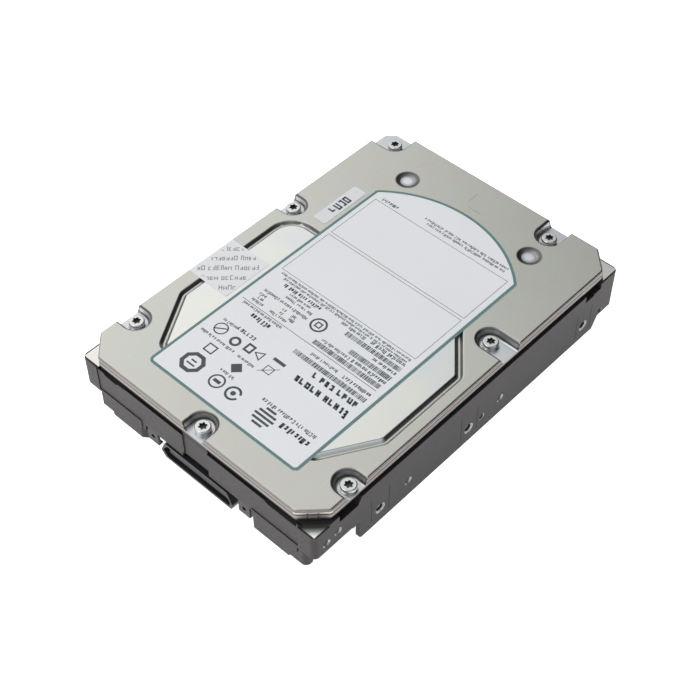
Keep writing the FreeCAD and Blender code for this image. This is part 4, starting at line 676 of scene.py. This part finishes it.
class Print(Mesh):
    """Print on a level sheet: bars, rings, frames, and stand-ins for lines and codes that say nothing."""

    def __init__(self, level, seed, slant=0.0, limits=None):
        """slant turns the print about the middle of limits, a rectangle that also clips it."""
        super().__init__()
        self.z0 = level - SUNK
        self.z1 = level + INK
        self.chance = random.Random(seed)
        self.slant = math.radians(slant)
        self.limits = limits

    def prism(self, outline, z0, z1):
        """A solid as before, but turned and left out where it would pass the limits."""
        if self.limits:
            x0, x1, y0, y1 = self.limits
            across, along = math.cos(self.slant), math.sin(self.slant)
            middle = (x0 + x1) / 2, (y0 + y1) / 2
            outline = [(middle[0] + x * across - y * along, middle[1] + x * along + y * across)
                       for x, y in outline]
            if not all(x0 < x < x1 and y0 < y < y1 for x, y in outline):
                return
        super().prism(outline, z0, z1)

    def bar(self, x0, x1, y0, y1, lean=0.0):
        self.prism([(x0, y0), (x1, y0), (x1 + lean, y1), (x0 + lean, y1)], self.z0, self.z1)

    def rule(self, x0, x1, y0, y1, width):
        """A straight line from (x0, y0) to (x1, y1)."""
        self.prism(bar_outline(x0, y0, x1, y1, width), self.z0, self.z1)

    def frame(self, x0, x1, y0, y1, width):
        outer = rectangle(x0, x1, y0, y1)
        inner = rectangle(x0 + width, x1 - width, y0 + width, y1 - width)
        self.band(outer, inner, self.z0, self.z1)

    def ring(self, cx, cy, radius, width, sides=32, a0=0, a1=360):
        """A ring with its outer edge at radius, whole or from a0 to a1 degrees."""
        turn = 180 / sides
        if a1 - a0 >= 360:
            outer = circle(cx, cy, radius, sides, turn)
            inner = circle(cx, cy, radius - width, sides, turn)
            self.band(outer, inner, self.z0, self.z1)
        else:
            outline = arc(cx, cy, radius, a0, a1, sides) + arc(cx, cy, radius - width, a1, a0, sides)
            self.strip(outline, sides)

    def strip(self, outline, steps):
        """A curved strip whose outline runs out along one side and back along the other, in quads."""
        half = len(outline) // 2
        out, back = outline[:half], outline[half:][::-1]
        for i in range(steps):
            self.prism([out[i], out[i + 1], back[i + 1], back[i]], self.z0, self.z1)

    def disc(self, cx, cy, radius):
        self.prism(circle(cx, cy, radius, 24), self.z0, self.z1)

    def glyph(self, x0, x1, y0, y1, stroke, lean):
        """Upright and level strokes chosen by chance, in the place of a letter."""
        shift = lean * (y1 - y0)
        stems, bars = self.chance.choice(GLYPHS)
        if stems != "last":
            self.bar(x1 - stroke, x1, y0, y1, shift)
        if stems != "first":
            self.bar(x0, x0 + stroke, y0, y1, shift)
        for share in bars:
            low = y0 + share * (y1 - y0 - stroke)
            across = lean * (low - y0)
            self.bar(x0 + stroke / 2 + across, x1 - stroke / 2 + across, low, low + stroke)

    def text(self, x0, x1, y, height, weight=1.0, lean=0.0, words=(3, 9)):
        """A line of stand-in letters in word-like groups, centred on y. It runs from x1 towards x0."""
        x = x1
        while x > x0:
            for _ in range(self.chance.randint(*words)):
                wide = height * self.chance.choice((0.42, 0.5, 0.58))
                tall = height * self.chance.choice((0.72, 0.72, 1.0))
                if x - wide < x0:
                    return
                self.glyph(x - wide, x, y + height / 2 - tall, y + height / 2, height * 0.17 * weight, lean)
                x -= wide + height * 0.14
            x -= height * 0.38

    def code(self, x0, x1, y, height):
        """Bars of uneven width and spacing, drawn by chance."""
        x = x0
        while x < x1 - 0.5:
            wide = self.chance.choice((0.16, 0.16, 0.3, 0.44))
            self.bar(x, x + wide, y - height / 2, y + height / 2)
            x += wide + self.chance.choice((0.14, 0.14, 0.2, 0.3))


# ---------------------------------------------------------------- the product label

LABEL_ARC = (0.0, 9.05, 45.67)     # centre and radius of the label's far edge


def label_outline(inset):
    """The label's outline moved inwards: straight sides, rounded corners and the long far arc."""
    x0, x1 = LABEL_LOW.x + inset, LABEL_HIGH.x - inset
    y0 = LABEL_LOW.y + inset
    near_r = max(2.0 - inset, 0.3)
    far_r = max(1.8 - inset, 0.3)
    cx, cy, big = LABEL_ARC[0], LABEL_ARC[1], LABEL_ARC[2] - inset
    points = arc(x0 + near_r, y0 + near_r, near_r, 180, 270, 8)
    points += arc(x1 - near_r, y0 + near_r, near_r, 270, 360, 8)
    angles = []
    corners = []
    for fx in (x1 - far_r, x0 + far_r):
        fy = cy + math.sqrt((big - far_r) ** 2 - (fx - cx) ** 2)
        corners.append((fx, fy))
        angles.append(math.degrees(math.atan2(fy - cy, fx - cx)))
    points += arc(*corners[0], far_r, 0, angles[0], 8)
    points += arc(cx, cy, big, angles[0], angles[1], 64)[1:-1]
    points += arc(*corners[1], far_r, angles[1], 180, 8)
    return points


def label_border(finishes):
    """The coloured line round the label."""
    border = Mesh()
    border.band(label_outline(0.02), label_outline(1.0), LABEL_HIGH.z - SUNK, LABEL_HIGH.z + INK)
    border.finish("label_border", finishes["teal_ink"], "label_face")


def label_marks(ink):
    """Plain shapes in the places of the round and square marks."""
    ink.ring(-19.5, -54.4, 4.4, 1.5, sides=8)
    ink.bar(-21.2, -17.8, -55.6, -55.0)
    ink.bar(-20.6, -18.4, -54.0, -53.4)
    ink.frame(-21.4, -17.6, -48.5, -44.9, 0.5)
    ink.ring(-8.4, -54.6, 2.8, 0.6)
    ink.bar(-9.8, -7.0, -55.2, -54.0)
    ink.ring(-1.3, -54.6, 2.8, 0.8, a0=20, a1=340)
    ink.disc(-1.3, -54.6, 0.9)
    ink.ring(-23.2, -38.6, 2.5, 0.45)
    ink.rule(-25.0, -21.4, -39.8, -37.4, 0.5)
    ink.ring(-16.0, -39.4, 2.0, 0.9)
    ink.frame(-12.2, -9.0, -40.2, -36.6, 0.75)
    ink.ring(-6.2, -38.3, 2.3, 0.8, sides=3)
    ink.prism([(-10.2, -46.8), (-7.8, -49.2), (-5.4, -46.8), (-7.8, -44.4)], ink.z0, ink.z1)
    ink.frame(-1.6, 1.6, -42.2, -39.2, 0.3)
    ink.rule(-2.6, 2.6, -43.2, -38.2, 0.22)
    ink.bar(-2.2, 2.7, -36.7, -35.5)
    ink.ring(-1.6, -16.6, 3.0, 0.7, sides=24)
    ink.frame(-2.8, -0.4, -17.8, -15.4, 0.5)


def label_badge(ink):
    """A rounded badge of plain bars beside the two heavy lines at the near corner."""
    x, middle, pitch, thick = 12.2, -54.8, 1.6, 0.42
    for i, half in enumerate((2.0, 3.4, 3.9, 3.4, 2.0)):
        y = middle + (i - 2) * pitch
        ink.bar(x - half, x + half, y - thick, y + thick)


def label_print(finishes):
    """Frames, rules, stand-in text and bars laid out as on a drive's label. It reads from the far side."""
    ink = Print(LABEL_HIGH.z, seed=7)
    for y0, y1 in ((17.0, 39.4), (-6.5, 15.9)):
        ink.frame(-27.9, 30.3, y0, y1, 0.16)
    ink.rule(-28.0, 29.9, -24.35, -24.35, 0.2)
    ink.text(-9.4, 27.0, 43.6, 1.2)
    ink.text(-7.4, 26.6, 41.9, 1.2)
    ink.text(-26.6, -18.9, 41.0, 1.3, weight=1.4)
    ink.text(-27.0, 29.6, -8.0, 1.0)
    ink.text(-24.6, 29.0, -9.4, 1.0)
    ink.text(-22.9, -6.0, -11.3, 1.5, weight=1.5)
    ink.text(-17.7, -8.6, -13.2, 1.2)
    ink.text(-18.0, -6.4, -14.9, 1.2)
    ink.text(-26.2, -6.2, -17.3, 1.3)
    for x0, x1 in ((-25.6, -22.4), (-15.4, -13.4), (-11.0, -8.6)):
        ink.text(x0, x1, -19.5, 1.3)
        ink.text(x0 + 0.4, x1 + 0.3, -21.2, 1.3)
    ink.text(-26.0, -20.6, -22.8, 1.3)
    ink.text(-17.5, -10.2, -22.8, 1.3)
    ink.text(-26.8, -9.2, -25.6, 1.2)
    ink.text(-22.3, -12.4, -28.0, 2.0, weight=1.5)
    ink.text(-26.3, -19.5, -35.2, 1.3)
    ink.text(-19.6, -12.0, -34.9, 2.0, weight=1.1)
    ink.text(-28.2, -13.2, -42.9, 1.2)
    ink.text(-12.1, -4.3, -43.1, 1.2)
    ink.text(-11.6, -5.1, -50.5, 1.2)
    ink.text(14.5, 30.0, -10.8, 1.5, weight=1.2)
    ink.text(3.0, 13.1, -10.9, 1.3)
    ink.code(7.0, 30.4, -13.1, 1.9)
    ink.text(19.6, 29.9, -15.5, 1.4, weight=1.2)
    ink.code(13.1, 30.1, -17.9, 2.0)
    ink.text(15.9, 30.0, -20.3, 1.4, weight=1.2)
    ink.text(3.0, 15.1, -20.4, 1.2)
    ink.code(1.9, 30.4, -22.5, 1.9)
    ink.text(17.5, 29.9, -27.0, 1.4, weight=1.2)
    ink.text(4.8, 16.0, -26.8, 1.2)
    ink.code(0.2, 30.7, -29.5, 1.9)
    ink.text(10.7, 30.0, -33.0, 3.0, weight=1.4, lean=-0.25)
    ink.text(6.7, 30.2, -37.5, 3.2, weight=1.4, lean=-0.25)
    ink.text(6.2, 29.1, -50.0, 1.5, weight=1.1)
    ink.text(17.4, 29.1, -53.4, 2.2, weight=1.7)
    label_marks(ink)
    label_badge(ink)
    ink.finish("label_print", finishes["slate_ink"], "label_face")


# ---------------------------------------------------------------- the other stickers

TAMPER_SLANT = 223.3    # which way the strip's print runs, in degrees
TAMPER_PITCH = 4.5      # between its rows


def sticker_print(finishes):
    """One short word of heavy stand-in letters along the small sticker."""
    ink = Print(STICKER_HIGH.z, seed=3)
    ink.text(STICKER_LOW.y + 5.6, STICKER_HIGH.y - 6.2, -(STICKER_LOW.x + 2.8), 3.3, weight=1.2, words=(4, 4))
    turn = Matrix.Rotation(math.radians(90), 4, "Z")
    ink.finish("sticker_print", finishes["slate_ink"], "sticker_paper", move=turn)


def tamper_print(finishes):
    """Rows of stand-in text printed slantwise on the strip's flat part and clipped to it."""
    limits = (TAMPER_LOW.x + 1.4, TAMPER_HIGH.x - 0.3, TAMPER_LOW.y + 0.3, TAMPER_HIGH.y - 0.3)
    ink = Print(TAMPER_HIGH.z, seed=11, slant=TAMPER_SLANT, limits=limits)
    for row in range(-3, 4):
        ink.text(-16.0, 16.0, row * TAMPER_PITCH, 2.1, weight=0.85, words=(6, 9))
    ink.finish("tamper_print", finishes["grey_ink"], "tamper_film")


def cover_ticks(finishes):
    """Two scribed witness lines near the cover's far end."""
    ink = Print(COVER_HIGH.z, seed=1)
    ink.rule(-3.75, -3.75, 60.5, 65.3, 0.2)
    ink.rule(-1.7, 3.2, 58.2, 58.2, 0.2)
    ink.finish("cover_ticks", finishes["grey_ink"], "cover_metal")


# ---------------------------------------------------------------- threads in the mounting holes

THREAD_PITCH = 0.794
THREAD_LENGTH = 3.0
SIDE_THREAD_START = 1.0     # how far below the face the first turn lies
RAIL_THREAD_START = 0.9
BORE_R = 1.4
CREST = 0.2             # how far the ridge stands into the bore


def thread(mesh, mouth, inward, depth):
    """A helical ridge on the wall of a tapped hole."""
    inward = Vector(inward)
    side = inward.orthogonal().normalized()
    up = inward.cross(side)
    steps = 20
    sections = []
    for i in range(int(depth / THREAD_PITCH * steps) + 1):
        a = 2 * math.pi * i / steps
        out = side * math.cos(a) + up * math.sin(a)
        at = Vector(mouth) + inward * (THREAD_PITCH * i / steps)
        root = at + out * (BORE_R + 0.01)
        crest = at + out * (BORE_R - CREST)
        half = inward * THREAD_PITCH * 0.44
        sections.append([root - half, crest, root + half])
    mesh.sweep(sections)


def tapped_threads(finishes):
    """The threads of the open mounting holes in both sides and in the rails."""
    mesh = Mesh()
    for y, z in SIDE_HOLES:
        for side in (-1, 1):
            thread(mesh, (side * (TOP.x - SIDE_THREAD_START), y, z), (-side, 0, 0), THREAD_LENGTH)
    for x, y in BOTTOM_HOLES:
        thread(mesh, (x, y, RAIL_THREAD_START), (0, 0, 1), THREAD_LENGTH)
    mesh.finish("tapped_threads", finishes["bare_aluminium"], "black_casting")


# ---------------------------------------------------------------- the circuit board's outside


BOARD_SUNK = 0.001      # how far tracks, rings and legend reach into the board
VIA_COUNT = 130
MOTOR_CLEAR = 21.5      # the vias stay this far from the spindle's axis


def chip_boxes():
    """Where the controller and the motor driver lie on the board: x0, x1, y0, y1."""
    boxes = []
    for node in ("controller_chip", "motor_driver"):
        low, high = (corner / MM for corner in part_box(node))
        boxes.append((low.x, high.x, low.y, high.y))
    return boxes


def board_traces(finishes):
    """Copper tracks under the solder mask: fans of parallel lines that turn at 45 degrees."""
    mesh = Mesh()
    z1 = BOARD_LOW.z + BOARD_SUNK
    z0 = BOARD_LOW.z - 0.03

    def track(points, width):
        for a, b in zip(points, points[1:]):
            mesh.prism(bar_outline(*a, *b, width, past_ends=True), z0, z1)

    for i in range(16):
        x = 0.4 + 0.34 * i
        lane = -50.5 + 0.5 * i
        track([(x, -26.2), (x, -34 - 0.2 * i), (5.2, lane), (5.2 + 0.4, lane)], 0.16)
    for i in range(20):
        x = -22.6 + 1.12 * i
        bend = -54.2 - 0.22 * i
        track([(x, -50.4), (x, bend), (x * 0.9 + 1.5, bend - 2.0), (x * 0.9 + 1.5, -63.0)], 0.2)
    for i in range(9):
        y = -26.6 + 0.6 * i
        track([(-0.2, y), (8 + 0.3 * i, y), (20.2 + 0.2 * i, y + 10.5), (21.2, y + 10.5)], 0.18)
    for i in range(5):
        y = -6 + 5.2 * i
        track([(-38.5 + i, -14), (-38.5 + i, y), (-33 + i, y + 5.5)], 0.3)
    mesh.finish("board_traces", finishes["board_green"], "board_green")


def board_vias(finishes):
    """Tinned via rings and round test points."""
    mesh = Mesh()
    chance = random.Random(21)
    z1 = BOARD_LOW.z + BOARD_SUNK
    z0 = BOARD_LOW.z - 0.04
    taken = chip_boxes()
    places = []
    while len(places) < VIA_COUNT:
        x = chance.uniform(-40, 40)
        y = chance.uniform(-62, 23)
        clear = all(not (a - 1 < x < b + 1 and c - 1 < y < d + 1) for a, b, c, d in taken)
        if clear and math.hypot(x - SPINDLE[0], y - SPINDLE[1]) > MOTOR_CLEAR:
            places.append((x, y))
    for x, y in places:
        r = chance.choice((0.28, 0.28, 0.28, 0.55))
        mesh.band(circle(x, y, r, 12), circle(x, y, r * 0.4, 12), z0, z1)
    mesh.finish("board_vias", finishes["solder_tin"], "solder_tin")


def board_legend(finishes):
    """White outlines round the packages and pin-one dots, with no lettering."""
    mesh = Mesh()
    z1 = BOARD_LOW.z + BOARD_SUNK
    z0 = BOARD_LOW.z - 0.02
    for x0, x1, y0, y1 in chip_boxes():
        outer = rectangle(x0 - 1.4, x1 + 1.4, y0 - 1.4, y1 + 1.4)
        mesh.band(outer, rectangle(x0 - 1.25, x1 + 1.25, y0 - 1.25, y1 + 1.25), z0, z1)
        mesh.prism(circle(x0 - 2.0, y0 - 2.0, 0.3, 16), z0, z1)
    mesh.finish("board_legend", finishes["white_ink"], "board_green")


# ---------------------------------------------------------------- the studio

# The camera, solved from the photograph: angles in degrees and the lens for a 36 mm sensor.
AZIMUTH = 42.636
ELEVATION = 48.615
ROLL = 0.226
DISTANCE = 468.459
AIM = (0.0, 0.0, 13.0)
AIM_SHIFT = (-2.471, -7.497)
LENS = 73.21
SENSOR = 36.0

# The floor, in metres, and places in the sky as (azimuth, elevation) in degrees.
FLOOR_HALF = 1.6
FLOOR_DROP = 0.0002
WINDOW = (160, 45)
NEAR_SIDE = (-125, 30)
NEAR_RIGHT = (-17, 40)
DARK_PANEL = (60, 12)


def camera():
    """The photograph's viewpoint."""
    a, e, r = (math.radians(v) for v in (AZIMUTH, ELEVATION, ROLL))
    back = Vector((math.sin(a) * math.cos(e), -math.cos(a) * math.cos(e), math.sin(e)))
    right = (-back).cross(Vector((0, 0, 1))).normalized()
    up = right.cross(-back)
    right, up = math.cos(r) * right + math.sin(r) * up, -math.sin(r) * right + math.cos(r) * up
    place = Vector(AIM) + back * DISTANCE + right * AIM_SHIFT[0] + up * AIM_SHIFT[1]
    data = bpy.data.cameras.new("camera")
    data.lens = LENS
    data.sensor_width = SENSOR
    data.clip_start = 0.01
    cam = bpy.data.objects.new("camera", data)
    cam.matrix_world = Matrix.Translation(place * MM) @ Matrix((right, up, back)).transposed().to_4x4()
    bpy.context.scene.collection.objects.link(cam)
    bpy.context.scene.camera = cam


def floor():
    """A pale seamless table."""
    data = bpy.data.meshes.new("floor")
    corners = rectangle(-FLOOR_HALF, FLOOR_HALF, -FLOOR_HALF, FLOOR_HALF)
    data.from_pydata([(x, y, UNDER.z * MM - FLOOR_DROP) for x, y in corners], [], [(0, 1, 2, 3)])
    f = Finish("floor", (0.93, 0.93, 0.93), 0.8)
    f.set("Roughness", f.level(f.noise(40.0), 0.3, 0.7, 0.76, 0.84))
    f.set("Emission Color", (1.0, 1.0, 1.0, 1.0))
    f.set("Emission Strength", 0.9)
    data.materials.append(f.material)
    table = bpy.data.objects.new("floor", data)
    bpy.context.scene.collection.objects.link(table)


def heading(azimuth, elevation):
    """The unit vector that points towards a place in the sky. Azimuth is measured from +X towards +Y."""
    a, e = math.radians(azimuth), math.radians(elevation)
    return Vector((math.cos(a) * math.cos(e), math.sin(a) * math.cos(e), math.sin(e)))


def softbox(name, azimuth, elevation, distance, size, power):
    """A rectangular soft white light aimed at the object, in metres and watts."""
    out = heading(azimuth, elevation)
    data = bpy.data.lights.new(name, "AREA")
    data.shape = "RECTANGLE"
    data.size, data.size_y = size
    data.energy = power
    lamp = bpy.data.objects.new(name, data)
    lamp.location = out * distance + Vector((0, 0, AIM[2] * MM))
    lamp.rotation_euler = out.to_track_quat("Z", "Y").to_euler()
    bpy.context.scene.collection.objects.link(lamp)


def sky():
    """Soft light all round: strongest behind the object on the left, with a dark panel at its right."""
    world = bpy.data.worlds.new("studio")
    bpy.context.scene.world = world
    world.use_nodes = True
    tree = world.node_tree
    view = tree.nodes.new("ShaderNodeTexCoord").outputs["Generated"]

    def patch(place, low, high, to_low, to_high):
        """A level that follows how near the view is to a place in the sky."""
        dot = tree.nodes.new("ShaderNodeVectorMath")
        dot.operation = "DOT_PRODUCT"
        dot.inputs[1].default_value = heading(*place)
        tree.links.new(view, dot.inputs[0])
        level = tree.nodes.new("ShaderNodeMapRange")
        for socket, value in zip(level.inputs[1:5], (low, high, to_low, to_high)):
            socket.default_value = value
        tree.links.new(dot.outputs["Value"], level.inputs[0])
        return level.outputs[0]

    def combine(operation, a, b):
        made = tree.nodes.new("ShaderNodeMath")
        made.operation = operation
        tree.links.new(a, made.inputs[0])
        tree.links.new(b, made.inputs[1])
        return made.outputs[0]

    window = patch(WINDOW, 0.74, 1.0, 0.30, 1.74)
    sides = combine("ADD", patch(NEAR_SIDE, 0.6, 0.95, 0.0, 0.40), patch(NEAR_RIGHT, 0.82, 0.97, 0.0, 0.7))
    panel = patch(DARK_PANEL, 0.45, 0.88, 1.0, 0.04)
    strength = combine("MULTIPLY", combine("ADD", window, sides), panel)
    tint = tree.nodes.new("ShaderNodeMix")
    tint.data_type = "RGBA"
    tint.inputs[6].default_value = (0.9, 0.95, 1.0, 1.0)
    tint.inputs[7].default_value = (1.0, 0.99, 0.955, 1.0)
    background = tree.nodes["Background"]
    tree.links.new(patch(WINDOW, 0.0, 1.0, 0.0, 1.0), tint.inputs[0])
    tree.links.new(tint.outputs[2], background.inputs["Color"])
    tree.links.new(strength, background.inputs["Strength"])


def studio():
    """The sky, two soft lamps, and colours shown as they are."""
    sky()
    softbox("fill", -110, 55, 0.9, (0.5, 0.5), 2.0)
    softbox("front", -62, 25, 1.1, (0.8, 0.4), 0.4)
    bpy.context.scene.view_settings.view_transform = "Standard"


# ---------------------------------------------------------------- making it all


def dress_nodes(finishes):
    """Gives each CAD node its slot's finish, in place of the plain colour that it came with."""
    for name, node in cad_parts.items():
        plain = [m.name.split(".")[0] for m in node.data.materials if m]
        for index, slot in enumerate(plain):
            if slot in finishes:
                node.data.materials[index] = finishes[slot].material
            else:
                print("no finish for", name, slot)


camera()
floor()
studio()
FINISHES = make_finishes()
dress_nodes(FINISHES)
label_border(FINISHES)
label_print(FINISHES)
sticker_print(FINISHES)
tamper_print(FINISHES)
cover_ticks(FINISHES)
tapped_threads(FINISHES)
board_traces(FINISHES)
board_vias(FINISHES)
board_legend(FINISHES)
